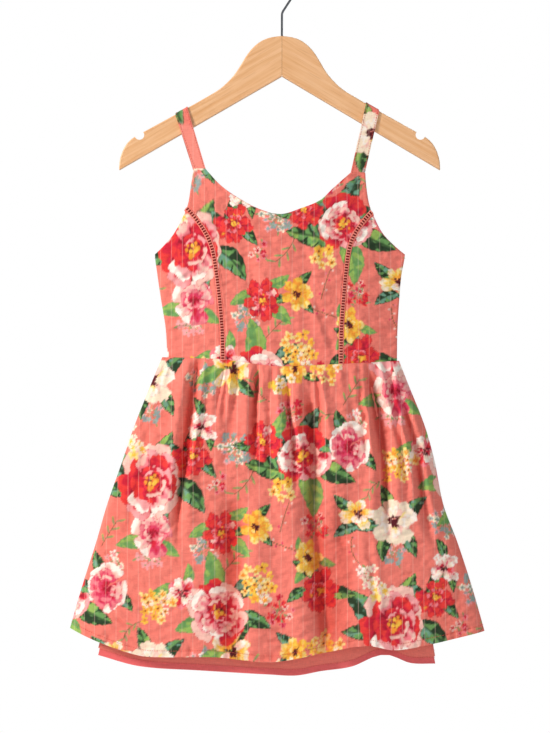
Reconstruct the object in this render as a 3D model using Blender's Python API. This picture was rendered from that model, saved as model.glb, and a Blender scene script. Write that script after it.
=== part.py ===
# Child's strappy sundress with a gathered skirt and a lining, hung on a wooden clothes hanger.
# The wearer's front faces -Y, +X is to the right as seen from the front, +Z is up.
# The origin is the inside top of the hanger's hook, where a rail holds it.
# Tables are in millimetres: "drop" is the distance below the origin.
import bisect
import math

import bmesh
import bpy
from mathutils import Vector

mm = 0.001

# Driving sizes, in millimetres.
seamGap = 0.3          # between two pieces sewn edge to edge
clothWall = 1.2        # outer cloth with its turnings
liningWall = 1.0
bodiceDepth = {"front": 12.0, "back": 11.0}       # how far each side stands off the side seams
skirtHemDepth = {"front": 24.0, "back": 20.0}
liningDepth = {"front": {"hip": 3.6, "hem": 10.0}, "back": {"hip": 2.5, "hem": 8.0}}
liningRise = {"front": 0.0, "back": 8.0}          # how much shorter than the front hem
ladderWidth = 5.0      # faggoting trim with its two stitched edges
woodThickness = 12.0
strapCorner = 2.5      # outer radius where a strap turns over the wood
wireDiameter = 2.5
wireInWood = 24.0      # length of stem held in the mitre joint
stemBend = 9.0         # radius of the bend between stem and lean
hookRadius = 17.0      # to the wire's centre line
hookLean = math.radians(33.0)
hookEnd = math.radians(205.0)


def columns(names, *rows):
    return dict(zip(names.split(), zip(*rows)))


# Side seams of the bodice. The rows above the underarm only carry the roundness on upwards.
bodiceSides = columns(
    "drop    left    right",
    (215.0, -146.0, 141.0),
    (318.5, -142.7, 138.1),
    (342.0, -139.8, 134.2),
    (366.0, -136.3, 132.0),
    (402.0, -130.6, 129.8),
    (437.0, -128.7, 129.2))

# Princess seams, each filled by a ladder trim. The first row lies beyond the armhole.
princessLines = columns(
    "drop    left    right",
    (250.0, -120.0, 118.5),
    (267.1, -105.9, 104.0),
    (286.1, -91.0, 88.0),
    (301.0, -82.3, 79.2),
    (315.0, -77.5, 74.9),
    (335.0, -74.0, 72.2),
    (360.0, -70.7, 69.8),
    (400.0, -67.1, 66.8),
    (440.0, -66.0, 66.2))

armholes = columns(
    "drop    left    right",
    (222.4, -98.8, 93.2),
    (240.0, -101.8, 94.3),
    (263.0, -105.6, 98.0),
    (280.0, -112.8, 104.9),
    (296.2, -121.9, 114.0),
    (309.5, -133.4, 127.1),
    (318.5, -142.7, 138.1))

neckline = columns(
    "x      drop",
    (-86.1, 222.4),
    (-69.7, 240.3),
    (-52.5, 253.1),
    (-24.6, 268.2),
    (-1.1, 273.6),
    (21.2, 267.1),
    (42.5, 258.2),
    (57.0, 244.8),
    (77.1, 226.9))

# The back is cut low: straight across under the shoulder straps.
backTop = columns(
    "x       drop",
    (-142.7, 318.5),
    (-112.0, 306.0),
    (-77.4, 294.0),
    (-64.4, 294.0),
    (0.0, 300.0),
    (63.5, 294.0),
    (76.5, 294.0),
    (110.0, 306.0),
    (138.1, 318.5))

waistSeam = columns(
    "x       drop",
    (-134.4, 433.6),
    (-69.3, 436.0),
    (-24.6, 442.0),
    (-2.2, 444.0),
    (44.7, 442.2),
    (130.0, 437.6))

skirtSides = columns(
    "drop    left    right",
    (433.6, -134.4, 130.0),
    (460.0, -145.5, 140.3),
    (510.0, -165.5, 160.2),
    (550.0, -179.2, 171.4),
    (600.0, -196.7, 181.6),
    (640.0, -208.3, 196.6),
    (690.0, -224.2, 213.0),
    (741.1, -239.0, 227.6))

skirtHem = columns(
    "x       drop",
    (-238.2, 737.8),
    (-205.7, 752.3),
    (-159.9, 766.9),
    (-130.8, 768.5),
    (-76.0, 768.5),
    (-12.9, 774.0),
    (43.6, 764.6),
    (92.8, 755.7),
    (126.3, 760.8),
    (166.6, 754.6),
    (227.6, 741.1))

liningSides = columns(
    "drop    left    right",
    (436.0, -122.0, 118.0),
    (778.0, -206.5, 172.2))

liningHem = columns(
    "x       drop",
    (-206.5, 768.4),
    (-159.9, 780.3),
    (-91.7, 784.7),
    (-12.9, 789.2),
    (15.7, 790.3),
    (43.6, 785.4),
    (78.3, 780.3),
    (105.1, 769.1),
    (120.7, 768.0),
    (144.2, 776.9),
    (172.2, 778.0))

# Main folds. top and foot are shares of the width from the left, begin and end shares of the length.
folds = {}
folds["front"] = columns(
    "top    foot   begin  end   width  depth",
    (0.150, 0.263, 0.00, 0.66, 7.0, 6.5),
    (0.267, 0.275, 0.00, 0.24, 5.0, 4.0),
    (0.400, 0.460, 0.00, 0.42, 6.0, 5.0),
    (0.520, 0.600, 0.02, 0.50, 7.0, 6.0),
    (0.605, 0.618, 0.10, 1.10, 15.0, 7.5),
    (0.860, 0.800, 0.04, 0.66, 8.0, 6.5),
    (0.955, 0.930, 0.15, 0.68, 6.0, 4.5))

folds["back"] = columns(
    "top    foot   begin  end   width  depth",
    (0.120, 0.080, 0.00, 0.58, 7.0, 5.5),
    (0.240, 0.225, 0.02, 0.92, 12.0, 6.5),
    (0.360, 0.345, 0.00, 0.38, 6.0, 4.5),
    (0.480, 0.500, 0.00, 1.10, 14.0, 7.0),
    (0.630, 0.655, 0.00, 0.46, 6.5, 5.0),
    (0.760, 0.800, 0.03, 0.80, 11.0, 6.0),
    (0.890, 0.930, 0.00, 0.50, 7.0, 5.0))

# One hanger arm from the mitre outwards, for an arm that reaches 180 mm.
armTop = columns(
    "x      drop",
    (0.0, 73.4),
    (13.0, 75.2),
    (23.5, 79.5),
    (32.0, 86.5),
    (38.5, 94.5),
    (49.5, 112.5),
    (56.0, 121.0),
    (67.8, 132.3),
    (81.5, 141.0),
    (108.0, 156.2),
    (150.0, 179.5),
    (163.5, 187.0),
    (171.0, 193.5),
    (176.0, 202.0),
    (179.2, 212.0),
    (180.0, 220.0))
armTableReach = 180.0
armReach = {"left": 182.6, "right": 177.4}
armFootDrop = {"mitre": 118.4, "tip": 223.5}
notch = {"x": 157.6, "drop": 184.6, "radius": 5.4}
woodEdge = {"top": 1.2, "foot": 3.2}              # bevel widths

# Straps: x of the left and right edge on the arm, and x, x and drop of the seams to the bodice.
strapSpots = {
    "left": {"onArm": (-119.4, -105.8), "front": (-98.8, -86.1, 222.4), "back": (-77.4, -64.4, 294.0)},
    "right": {"onArm": (94.2, 108.8), "front": (77.1, 93.2, 226.9), "back": (63.5, 76.5, 294.0)}}

outward = {"front": -1.0, "back": 1.0}


def smoothAt(keys, values, at):
    """Cubic through the table's points, level with them at both ends."""
    if at <= keys[0]:
        return values[0]
    if at >= keys[-1]:
        return values[-1]
    row = bisect.bisect_right(keys, at) - 1

    def slope(index):
        low = max(index - 1, 0)
        high = min(index + 1, len(keys) - 1)
        return (values[high] - values[low]) / (keys[high] - keys[low])

    span = keys[row + 1] - keys[row]
    t = (at - keys[row]) / span
    start = (2 * t ** 3 - 3 * t ** 2 + 1) * values[row] + (t ** 3 - 2 * t ** 2 + t) * span * slope(row)
    end = (3 * t ** 2 - 2 * t ** 3) * values[row + 1] + (t ** 3 - t ** 2) * span * slope(row + 1)
    return start + end


def read(table, key, at, column):
    return smoothAt(table[key], table[column], at)


def mix(a, b, share):
    return a + (b - a) * share


def ease(share):
    share = min(max(share, 0.0), 1.0)
    return share * share * (3 - 2 * share)


def spread(first, last, count):
    return [mix(first, last, index / (count - 1)) for index in range(count)]


def curveThrough(points, count):
    """Evenly spaced points on a smooth curve through (x, drop) points."""
    lengths = [0.0]
    for before, after in zip(points, points[1:]):
        lengths.append(lengths[-1] + math.dist(before, after))
    xs, drops = zip(*points)
    return [(smoothAt(lengths, xs, s), smoothAt(lengths, drops, s)) for s in spread(0.0, lengths[-1], count)]


def waistPoints(firstX, lastX, count, shift):
    return [(x, read(waistSeam, "x", x, "drop") + shift) for x in spread(firstX, lastX, count)]


def armholePoints(side, firstDrop, lastDrop, count):
    return [(read(armholes, "drop", drop, side), drop) for drop in spread(firstDrop, lastDrop, count)]


# Bodice

princessRows = 11
armholeSteps = 3
strapSteps = 2
neckSteps = 10
backTopSteps = (2, 3, 2, 4, 4, 2, 3, 2)     # one for each stretch of backTop
underarmDrop = armholes["drop"][-1]


def princessEdge(side, shift):
    """The princess line moved sideways by shift, from the waist up to the armhole."""
    beyond, foot = princessLines["drop"][0], princessLines["drop"][-1]
    foot = read(waistSeam, "x", read(princessLines, "drop", foot, side), "drop") - seamGap / 2
    track = []
    for drop in spread(foot, beyond, 90):
        x = read(princessLines, "drop", drop, side)
        lean = read(princessLines, "drop", drop + 1, side) - read(princessLines, "drop", drop - 1, side)
        along = Vector((lean, 2.0)).normalized()
        moved = (x + shift * along.y, drop - shift * along.x)
        if abs(moved[0]) < abs(read(armholes, "drop", moved[1], side)):
            track.append(moved)
    track[0] = (track[0][0], foot)
    track[-1] = (read(armholes, "drop", track[-1][1], side), track[-1][1])
    return curveThrough(track[::6] + [track[-1]], princessRows)


def sideSeamPoints(side, count):
    low = read(waistSeam, "x", bodiceSides[side][-1], "drop") - seamGap / 2
    return [(read(bodiceSides, "drop", drop, side), drop) for drop in spread(low, underarmDrop, count)]


def patch(foot, head, left, right):
    """Coons patch between four edges of (x, drop) points: foot and head run left to right."""
    rows = []
    for j, v in enumerate(spread(0.0, 1.0, len(left))):
        row = []
        for i, u in enumerate(spread(0.0, 1.0, len(foot))):
            across = [mix(left[j][k], right[j][k], u) for k in (0, 1)]
            upright = [mix(foot[i][k], head[i][k], v) for k in (0, 1)]
            low = [mix(foot[0][k], foot[-1][k], u) for k in (0, 1)]
            high = [mix(head[0][k], head[-1][k], u) for k in (0, 1)]
            row.append(tuple(across[k] + upright[k] - mix(low[k], high[k], v) for k in (0, 1)))
        rows.append(row)
    return rows


def bodiceY(face, x, drop):
    left = read(bodiceSides, "drop", drop, "left")
    right = read(bodiceSides, "drop", drop, "right")
    share = min(abs(2 * x - left - right) / (right - left), 1.0)
    return outward[face] * (seamGap / 2 + clothWall + bodiceDepth[face] * (1 - share ** 2.5))


def bodiceGrid(face, rows):
    return [[Vector((x, bodiceY(face, x, drop), -drop)) * mm for x, drop in row] for row in rows]


def frontCentre():
    shift = ladderWidth / 2 + seamGap
    left = princessEdge("left", shift)
    right = princessEdge("right", -shift)
    straps = strapSpots["left"]["front"], strapSpots["right"]["front"]
    head = armholePoints("left", left[-1][1], straps[0][2], armholeSteps + 1)
    head += [(x, straps[0][2]) for x in spread(straps[0][0], straps[0][1], strapSteps + 1)][1:]
    head += curveThrough(list(zip(neckline["x"], neckline["drop"])), neckSteps + 1)[1:]
    head += [(x, straps[1][2]) for x in spread(straps[1][0], straps[1][1], strapSteps + 1)][1:]
    head += armholePoints("right", straps[1][2], right[-1][1], armholeSteps + 1)[1:]
    foot = waistPoints(left[0][0], right[0][0], len(head), -seamGap / 2)
    return bodiceGrid("front", patch(foot, head, left, right))


def frontSide(side):
    towardsSeam = -1.0 if side == "left" else 1.0
    princess = princessEdge(side, towardsSeam * (ladderWidth / 2 + seamGap))
    foot = waistPoints(bodiceSides[side][-1], princess[0][0], 8, -seamGap / 2)
    seam = sideSeamPoints(side, princessRows)
    head = armholePoints(side, underarmDrop, princess[-1][1], 8)
    if side == "left":
        return bodiceGrid("front", patch(foot, head, seam, princess))
    return bodiceGrid("front", patch(foot[::-1], head[::-1], princess, seam))


def ladderTrim(side):
    left = princessEdge(side, -ladderWidth / 2)
    right = princessEdge(side, ladderWidth / 2)
    rows = [[a, b] for a, b in zip(left, right)]
    return bodiceGrid("front", rows)


def bodiceBack():
    corners = list(zip(backTop["x"], backTop["drop"]))
    head = [corners[0]]
    for a, b, count in zip(corners, corners[1:], backTopSteps):
        head += list(zip(spread(a[0], b[0], count + 1), spread(a[1], b[1], count + 1)))[1:]
    left = sideSeamPoints("left", 9)
    right = sideSeamPoints("right", 9)
    foot = waistPoints(left[0][0], right[0][0], len(head), -seamGap / 2)
    return bodiceGrid("back", patch(foot, head, left, right))


# Skirt and lining

endColumns = (0.0, 0.004, 0.014, 0.034)    # close columns round the folded sides
opening = 0.2                              # share of the length over which the section rounds out
tuck = 0.12                                # share over which the lining leaves the skirt


def acrossColumns(count):
    inner = spread(-0.92, 0.92, count)
    return [share - 1 for share in endColumns] + inner + [1 - share for share in reversed(endColumns)]


def roundness(s, v):
    """Section across the skirt: a flat lens at the waist that opens into a round-ended tube."""
    opened = ease(v / opening)
    return (1 - abs(s) ** mix(2.5, 3.0, opened)) ** mix(1.0, 0.5, opened)


def foldDepth(table, s, v, width):
    total = 0.0
    for top, foot, begin, end, wide, deep in zip(*table.values()):
        away = ((s + 1) / 2 - mix(top, foot, v)) * width / wide
        shoulders = 0.45 * (math.exp(-(away - 1.9) ** 2) + math.exp(-(away + 1.9) ** 2))
        fade = ease((v - begin) / opening) * ease((end - v) / 0.15)
        total += deep * fade * (shoulders - math.exp(-away ** 2))
    return total * ease((1 - abs(s)) / 0.08)


def ends(table, column):
    return table[column][0], table[column][-1]


def skirtEdges(v):
    """Left and right outline of the skirt at a share v of its length."""
    edges = []
    for end, side in ((0, "left"), (-1, "right")):
        drop = mix(waistSeam["drop"][end], skirtHem["drop"][end], v)
        edges.append(read(skirtSides, "drop", drop, side))
    return edges


def skirtPoint(face, s, v):
    left, right = skirtEdges(v)
    across = (s + 1) / 2
    waistDrop = read(waistSeam, "x", mix(*ends(waistSeam, "x"), across), "drop") + seamGap / 2
    hemDrop = read(skirtHem, "x", mix(*ends(skirtHem, "x"), across), "drop")
    depth = mix(bodiceDepth[face], skirtHemDepth[face], v)
    stand = depth * roundness(s, v) + foldDepth(folds[face], s, v, right - left)
    skin = clothWall * (1 - ease(v / opening))
    y = outward[face] * (seamGap / 2 + skin + max(stand, 0.0))
    return Vector((mix(left, right, across), y, -mix(waistDrop, hemDrop, v))) * mm


def skirtGrid(face, rows, across):
    return [[skirtPoint(face, s, v) for s in acrossColumns(across)] for v in spread(1.0, 0.0, rows)]


def liningGrid(face):
    """The lining hangs from the waist seam inside the skirt and shows below its hem."""
    rows = []
    atWaist = bodiceDepth[face] - liningWall - seamGap
    hip, hem = liningDepth[face]["hip"], liningDepth[face]["hem"]
    for v in spread(1.0, 0.0, 8):
        depth = mix(atWaist, mix(hip, hem, v), ease(v / tuck))
        drop = mix(*ends(liningSides, "drop"), v)
        left = read(liningSides, "drop", drop, "left")
        right = read(liningSides, "drop", drop, "right")
        row = []
        for s in spread(-1.0, 1.0, 25):
            across = (s + 1) / 2
            waistX = mix(liningSides["left"][0], liningSides["right"][0], across)
            waistDrop = read(waistSeam, "x", waistX, "drop") + seamGap / 2
            hemDrop = read(liningHem, "x", mix(*ends(liningHem, "x"), across), "drop") - liningRise[face]
            y = outward[face] * (seamGap / 2 + liningWall + depth * (1 - abs(s) ** 2.5))
            row.append(Vector((mix(left, right, across), y, -mix(waistDrop, hemDrop, v))) * mm)
        rows.append(row)
    return rows


# Straps

def armTopDrop(side, x):
    return read(armTop, "x", abs(x) * armTableReach / armReach[side], "drop")


def strapStations(side):
    """Left edge, right edge and outward direction along the strap, front seam to back seam."""
    spots = strapSpots[side]
    reach = woodThickness / 2 + seamGap + clothWall

    def seamStation(face):
        leftX, rightX, drop = spots[face]
        edges = [Vector((x, bodiceY(face, x, drop), seamGap - drop)) for x in (leftX, rightX)]
        return edges, Vector((0, outward[face], 0))

    def armStation(face, turn):
        out = outward[face] * math.cos(turn)
        y = outward[face] * (reach - strapCorner) + strapCorner * out
        lift = strapCorner * math.sin(turn) - strapCorner + clothWall + seamGap
        edges = [Vector((x, y, lift - armTopDrop(side, x))) for x in spots["onArm"]]
        return edges, Vector((0, out, math.sin(turn)))

    def leg(face):
        (low, lowOut), (high, highOut) = seamStation(face), armStation(face, 0.0)
        return [([a.lerp(b, t) for a, b in zip(low, high)], lowOut) for t in spread(0.0, 1.0, 6)[:-1]]

    turns = [math.radians(angle) for angle in (0, 30, 60, 90)]
    stations = leg("front") + [armStation("front", turn) for turn in turns]
    stations += [armStation("back", turn) for turn in reversed(turns)]
    stations += reversed(leg("back"))
    return stations


def strapSolid(side):
    mesh = bmesh.new()
    loops = []
    for (left, right), out in strapStations(side):
        inner = [edge - out * clothWall for edge in (left, right)]
        loops.append([mesh.verts.new(point * mm) for point in (left, right, inner[1], inner[0])])
    for before, after in zip(loops, loops[1:]):
        for k in range(4):
            mesh.faces.new((before[k], before[(k + 1) % 4], after[(k + 1) % 4], after[k]))
    mesh.faces.new(loops[0][::-1])
    mesh.faces.new(loops[-1])
    return finish(mesh, "strap_" + side, clothPrint)


# Solids

def material(name, colour, roughness, metallic=0.0):
    made = bpy.data.materials.new(name)
    made.use_nodes = True
    shader = made.node_tree.nodes["Principled BSDF"]
    shader.inputs["Base Color"].default_value = (*colour, 1.0)
    shader.inputs["Roughness"].default_value = roughness
    shader.inputs["Metallic"].default_value = metallic
    made.diffuse_color = (*colour, 1.0)
    return made


def finish(mesh, name, slot):
    bmesh.ops.recalc_face_normals(mesh, faces=mesh.faces)
    data = bpy.data.meshes.new(name)
    mesh.to_mesh(data)
    mesh.free()
    data.materials.append(slot)
    made = bpy.data.objects.new(name, data)
    bpy.context.scene.collection.objects.link(made)
    return made


def gridNormals(grid, face):
    """Unit normals of a grid of points, all on its outer side."""
    lastRow, lastColumn = len(grid) - 1, len(grid[0]) - 1
    normals = []
    for j, row in enumerate(grid):
        line = []
        for i in range(len(row)):
            across = row[min(i + 1, lastColumn)] - row[max(i - 1, 0)]
            upright = grid[min(j + 1, lastRow)][i] - grid[max(j - 1, 0)][i]
            line.append(across.cross(upright).normalized())
        normals.append(line)
    middle = normals[len(grid) // 2][len(grid[0]) // 2]
    sign = 1.0 if middle.y * outward[face] > 0 else -1.0
    return [[normal * sign for normal in line] for line in normals]


def clothSolid(name, grid, wall, face, slot):
    """A closed wall: the grid is its outer skin, and the inner skin lies one wall inside it."""
    mesh = bmesh.new()
    normals = gridNormals(grid, face)
    outer = [[mesh.verts.new(point) for point in row] for row in grid]
    inner = []
    for row, line in zip(grid, normals):
        sunk = [point - normal * wall * mm for point, normal in zip(row, line)]
        for point in sunk:
            point.y = outward[face] * max(point.y * outward[face], seamGap / 2 * mm)
        inner.append([mesh.verts.new(point) for point in sunk])
    rows, cols = len(grid), len(grid[0])
    for skin in (outer, inner):
        for j in range(rows - 1):
            for i in range(cols - 1):
                mesh.faces.new((skin[j][i], skin[j][i + 1], skin[j + 1][i + 1], skin[j + 1][i]))
    rim = [(0, i) for i in range(cols)]
    rim += [(j, cols - 1) for j in range(1, rows)]
    rim += [(rows - 1, i) for i in range(cols - 2, -1, -1)]
    rim += [(j, 0) for j in range(rows - 2, 0, -1)]
    for (j, i), (q, p) in zip(rim, rim[1:] + rim[:1]):
        mesh.faces.new((outer[j][i], outer[q][p], inner[q][p], inner[j][i]))
    made = finish(mesh, name, slot)
    made.data.shade_smooth()
    made.data.set_sharp_from_angle(angle=math.radians(50))
    return made


# Hanger

def cutter(name, radius, depth, location, tilt=0.0):
    """A round tool along Z, or along Y where it is tilted by a quarter turn."""
    mesh = bmesh.new()
    bmesh.ops.create_cone(mesh, cap_ends=True, segments=24, radius1=radius * mm, radius2=radius * mm,
                          depth=depth * mm)
    made = finish(mesh, name, wood)
    made.location = Vector(location) * mm
    made.rotation_euler.x = tilt
    made.hide_render = True
    made.display_type = "WIRE"
    return made


def subtract(target, tool):
    cut = target.modifiers.new(tool.name, "BOOLEAN")
    cut.operation = "DIFFERENCE"
    cut.object = tool


def armOutline(side):
    scale = armReach[side] / armTableReach
    sign = -1.0 if side == "left" else 1.0
    table = [(x * scale, drop) for x, drop in zip(armTop["x"], armTop["drop"])]
    points = curveThrough(table, 44)
    points.append((armReach[side], armFootDrop["tip"]))
    points.append((seamGap / 2, armFootDrop["mitre"]))
    points[0] = (seamGap / 2, points[0][1])
    return [Vector((sign * x, -woodThickness / 2, -drop)) * mm for x, drop in points]


def hangerArm(side):
    mesh = bmesh.new()
    rim = mesh.faces.new([mesh.verts.new(point) for point in armOutline(side)])
    extruded = bmesh.ops.extrude_face_region(mesh, geom=[rim])
    moved = [item for item in extruded["geom"] if isinstance(item, bmesh.types.BMVert)]
    bmesh.ops.translate(mesh, verts=moved, vec=(0, woodThickness * mm, 0))
    bmesh.ops.recalc_face_normals(mesh, faces=mesh.faces)
    for kind, width in woodEdge.items():
        chosen = [edge for edge in mesh.edges if isRim(edge, kind)]
        bmesh.ops.bevel(mesh, geom=chosen, offset=width * mm, segments=2, profile=0.5, affect="EDGES",
                        clamp_overlap=True)
    arm = finish(mesh, "hanger_arm_" + side, wood)
    sign = -1.0 if side == "left" else 1.0
    place = (sign * notch["x"] * armReach[side] / armTableReach, 0.0, -notch["drop"])
    subtract(arm, cutter("notch_tool_" + side, notch["radius"], 40.0, place, math.pi / 2))
    return arm


def isRim(edge, kind):
    """Edges round the front and back faces: the straight foot, or the shaped top."""
    a, b = (vert.co for vert in edge.verts)
    onFace = abs(a.y - b.y) < 1e-6 and abs(abs(a.y) - woodThickness / 2 * mm) < 1e-6
    if not onFace or abs(a.x - b.x) < 1e-6 and abs(a.x) < 1.0 * mm:
        return False
    isFoot = abs(a.x - b.x) > 100 * mm
    return isFoot if kind == "foot" else not isFoot


def hookPath():
    """Centre line of the wire: stem, lean, and round over the rail, as (x, z) points."""
    centre = Vector((0.0, wireDiameter / 2 - hookRadius))
    tangent = centre + hookRadius * Vector((math.cos(hookLean), -math.sin(hookLean)))
    bendZ = tangent.y - tangent.x / math.tan(hookLean)
    bend = stemBend * math.tan(hookLean / 2)
    stemFoot = -armTop["drop"][0] - wireInWood
    path = [Vector((0.0, z)) for z in spread(stemFoot, bendZ - bend, 4)]
    for turn in spread(0.0, hookLean, 5)[1:]:
        path.append(Vector((stemBend * (1 - math.cos(turn)), bendZ - bend + stemBend * math.sin(turn))))
    for turn in spread(-hookLean, hookEnd, 26):
        path.append(centre + hookRadius * Vector((math.cos(turn), math.sin(turn))))
    return path


def hangerHook():
    curve = bpy.data.curves.new("hanger_hook", "CURVE")
    curve.dimensions = "3D"
    curve.bevel_depth = wireDiameter / 2 * mm
    curve.bevel_resolution = 4
    curve.use_fill_caps = True
    path = hookPath()
    spline = curve.splines.new("POLY")
    spline.points.add(len(path) - 1)
    for point, place in zip(spline.points, path):
        point.co = (place.x * mm, 0.0, place.y * mm, 1.0)
    spline.points[-1].radius = 0.6
    curve.materials.append(steel)
    made = bpy.data.objects.new("hanger_hook", curve)
    bpy.context.scene.collection.objects.link(made)
    return made


for leftover in list(bpy.data.objects):
    bpy.data.objects.remove(leftover, do_unlink=True)

clothPrint = material("printed_cotton", (0.93, 0.29, 0.21), 0.85)
clothPlain = material("plain_lining_cotton", (0.88, 0.25, 0.20), 0.85)
trim = material("ladder_trim", (0.86, 0.27, 0.22), 0.8)
wood = material("varnished_maple", (0.80, 0.48, 0.22), 0.45)
steel = material("plated_steel_wire", (0.16, 0.16, 0.17), 0.35, 1.0)

clothSolid("bodice_front_centre", frontCentre(), clothWall, "front", clothPrint)
for side in ("left", "right"):
    clothSolid("bodice_front_side_" + side, frontSide(side), clothWall, "front", clothPrint)
    clothSolid("ladder_trim_" + side, ladderTrim(side), clothWall, "front", trim)
    strapSolid(side)
clothSolid("bodice_back", bodiceBack(), clothWall, "back", clothPrint)
clothSolid("skirt_front", skirtGrid("front", 13, 44), clothWall, "front", clothPrint)
clothSolid("skirt_back", skirtGrid("back", 12, 34), clothWall, "back", clothPrint)
for face in ("front", "back"):
    clothSolid("lining_" + face, liningGrid(face), liningWall, face, clothPlain)

stemHole = cutter("stem_hole_tool", wireDiameter / 2 + seamGap, wireInWood * 2 + 2,
                  (0.0, 0.0, -armTop["drop"][0]))
for side in ("left", "right"):
    subtract(hangerArm(side), stemHole)
hangerHook()
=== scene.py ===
import math
import random

import bpy
import numpy as np
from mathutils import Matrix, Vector


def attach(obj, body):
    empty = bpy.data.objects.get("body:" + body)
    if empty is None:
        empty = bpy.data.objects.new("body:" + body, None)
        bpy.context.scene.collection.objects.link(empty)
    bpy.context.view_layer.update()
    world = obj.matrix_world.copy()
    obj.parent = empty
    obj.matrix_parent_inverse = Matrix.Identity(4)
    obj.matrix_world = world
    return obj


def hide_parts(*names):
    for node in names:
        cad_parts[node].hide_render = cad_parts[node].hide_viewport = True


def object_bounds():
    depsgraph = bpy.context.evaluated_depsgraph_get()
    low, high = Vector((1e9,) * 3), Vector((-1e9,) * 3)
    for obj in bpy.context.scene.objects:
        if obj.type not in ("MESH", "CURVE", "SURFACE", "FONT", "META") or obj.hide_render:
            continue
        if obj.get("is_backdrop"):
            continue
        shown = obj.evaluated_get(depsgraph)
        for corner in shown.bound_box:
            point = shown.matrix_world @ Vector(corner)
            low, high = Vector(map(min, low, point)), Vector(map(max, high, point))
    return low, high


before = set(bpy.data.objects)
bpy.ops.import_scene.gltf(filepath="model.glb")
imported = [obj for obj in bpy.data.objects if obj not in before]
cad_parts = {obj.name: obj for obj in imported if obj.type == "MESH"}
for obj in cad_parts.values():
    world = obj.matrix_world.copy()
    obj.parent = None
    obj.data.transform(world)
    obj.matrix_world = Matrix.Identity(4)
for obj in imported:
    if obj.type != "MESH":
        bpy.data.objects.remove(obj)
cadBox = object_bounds()
mm = 0.001

# Sizes are in millimetres, and drop is the distance below the inside top of the hook.
cloth = {
    "seamGap": 0.3, "wall": 1.2, "liningWall": 1.0,      # the gap between pieces, and the solids' walls
    "shownWall": 0.9, "shownLining": 0.7, "strapWall": 1.1, "backingWall": 0.3,
    "pitch": 1.2,                 # spacing of the outer skin's points, which carry the print
    "innerStep": 4,               # the hidden skin is this many times coarser
    "clear": 0.3, "deepest": 3.4,                # room kept behind the troughs, and the most it moves for it
    "bodiceDepth": {"front": 12.0, "back": 11.0},
    "skirtHemDepth": {"front": 24.0, "back": 20.0},
    "liningDepth": {"front": (3.6, 10.0), "back": (2.5, 8.0)},
    "liningRise": {"front": 0.0, "back": 8.0},
    "opening": 0.2, "tuck": 0.12}
outward = {"front": -1.0, "back": 1.0}
skirtTop, skirtLong = 440.0, 328.0      # drop at the waist, and the length from there to the hem
hemHalf = 233.0
edgeLengths = {"princess": 205, "neck": 190, "side": 165, "sideWaist": 64, "backSide": 130, "skirt": 325,
               "lining": 345, "liningHem": 380}
# Above its visible band the lining hangs further back, out of the way of most of the skirt's creases.
setBack = {"above": 730.0, "fade": 30.0, "by": 3.0, "least": 1.2}
# The trims' slot is the share of the backing strip, between the bars, that is painted dark as shade.
trims = {"width": 5.0, "edge": 0.7, "lap": 0.25, "rung": 1.45, "pitch": 3.1, "thick": 0.9, "slot": 0.26}


def columns(names, *rows):
    return {name: np.array(column, float) for name, column in zip(names.split(), zip(*rows))}


bodiceSides = columns(
    "drop left right", (215, -146, 141), (318.5, -142.7, 138.1), (342, -139.8, 134.2), (366, -136.3, 132),
    (402, -130.6, 129.8), (437, -128.7, 129.2))
princessLines = columns(
    "drop left right", (250, -120, 118.5), (267.1, -105.9, 104), (286.1, -91, 88), (301, -82.3, 79.2),
    (315, -77.5, 74.9), (335, -74, 72.2), (360, -70.7, 69.8), (400, -67.1, 66.8), (440, -66, 66.2))
armholes = columns(
    "drop left right", (222.4, -98.8, 93.2), (240, -101.8, 94.3), (263, -105.6, 98), (280, -112.8, 104.9),
    (296.2, -121.9, 114), (309.5, -133.4, 127.1), (318.5, -142.7, 138.1))
neckline = columns(
    "x drop", (-86.1, 222.4), (-69.7, 240.3), (-52.5, 253.1), (-24.6, 268.2), (-1.1, 273.6), (21.2, 267.1),
    (42.5, 258.2), (57, 244.8), (77.1, 226.9))
backTop = columns(
    "x drop", (-142.7, 318.5), (-112, 306), (-77.4, 294), (-64.4, 294), (0, 300), (63.5, 294), (76.5, 294),
    (110, 306), (138.1, 318.5))
waistSeam = columns(
    "x drop", (-134.4, 433.6), (-69.3, 436), (-24.6, 442), (-2.2, 444), (44.7, 442.2), (130, 437.6))
skirtSides = columns(
    "drop left right", (433.6, -134.4, 130), (460, -145.5, 140.3), (510, -165.5, 160.2), (550, -179.2, 171.4),
    (600, -196.7, 181.6), (640, -208.3, 196.6), (690, -224.2, 213), (741.1, -239, 227.6))
skirtHem = columns(
    "x drop", (-238.2, 737.8), (-205.7, 752.3), (-159.9, 766.9), (-130.8, 768.5), (-76, 768.5), (-12.9, 774),
    (43.6, 764.6), (92.8, 755.7), (126.3, 760.8), (166.6, 754.6), (227.6, 741.1))
liningSides = columns("drop left right", (436, -122, 118), (778, -206.5, 172.2))
liningHem = columns(
    "x drop", (-206.5, 768.4), (-159.9, 780.3), (-91.7, 784.7), (-12.9, 789.2), (15.7, 790.3), (43.6, 785.4),
    (78.3, 780.3), (105.1, 769.1), (120.7, 768), (144.2, 776.9), (172.2, 778))
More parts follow.
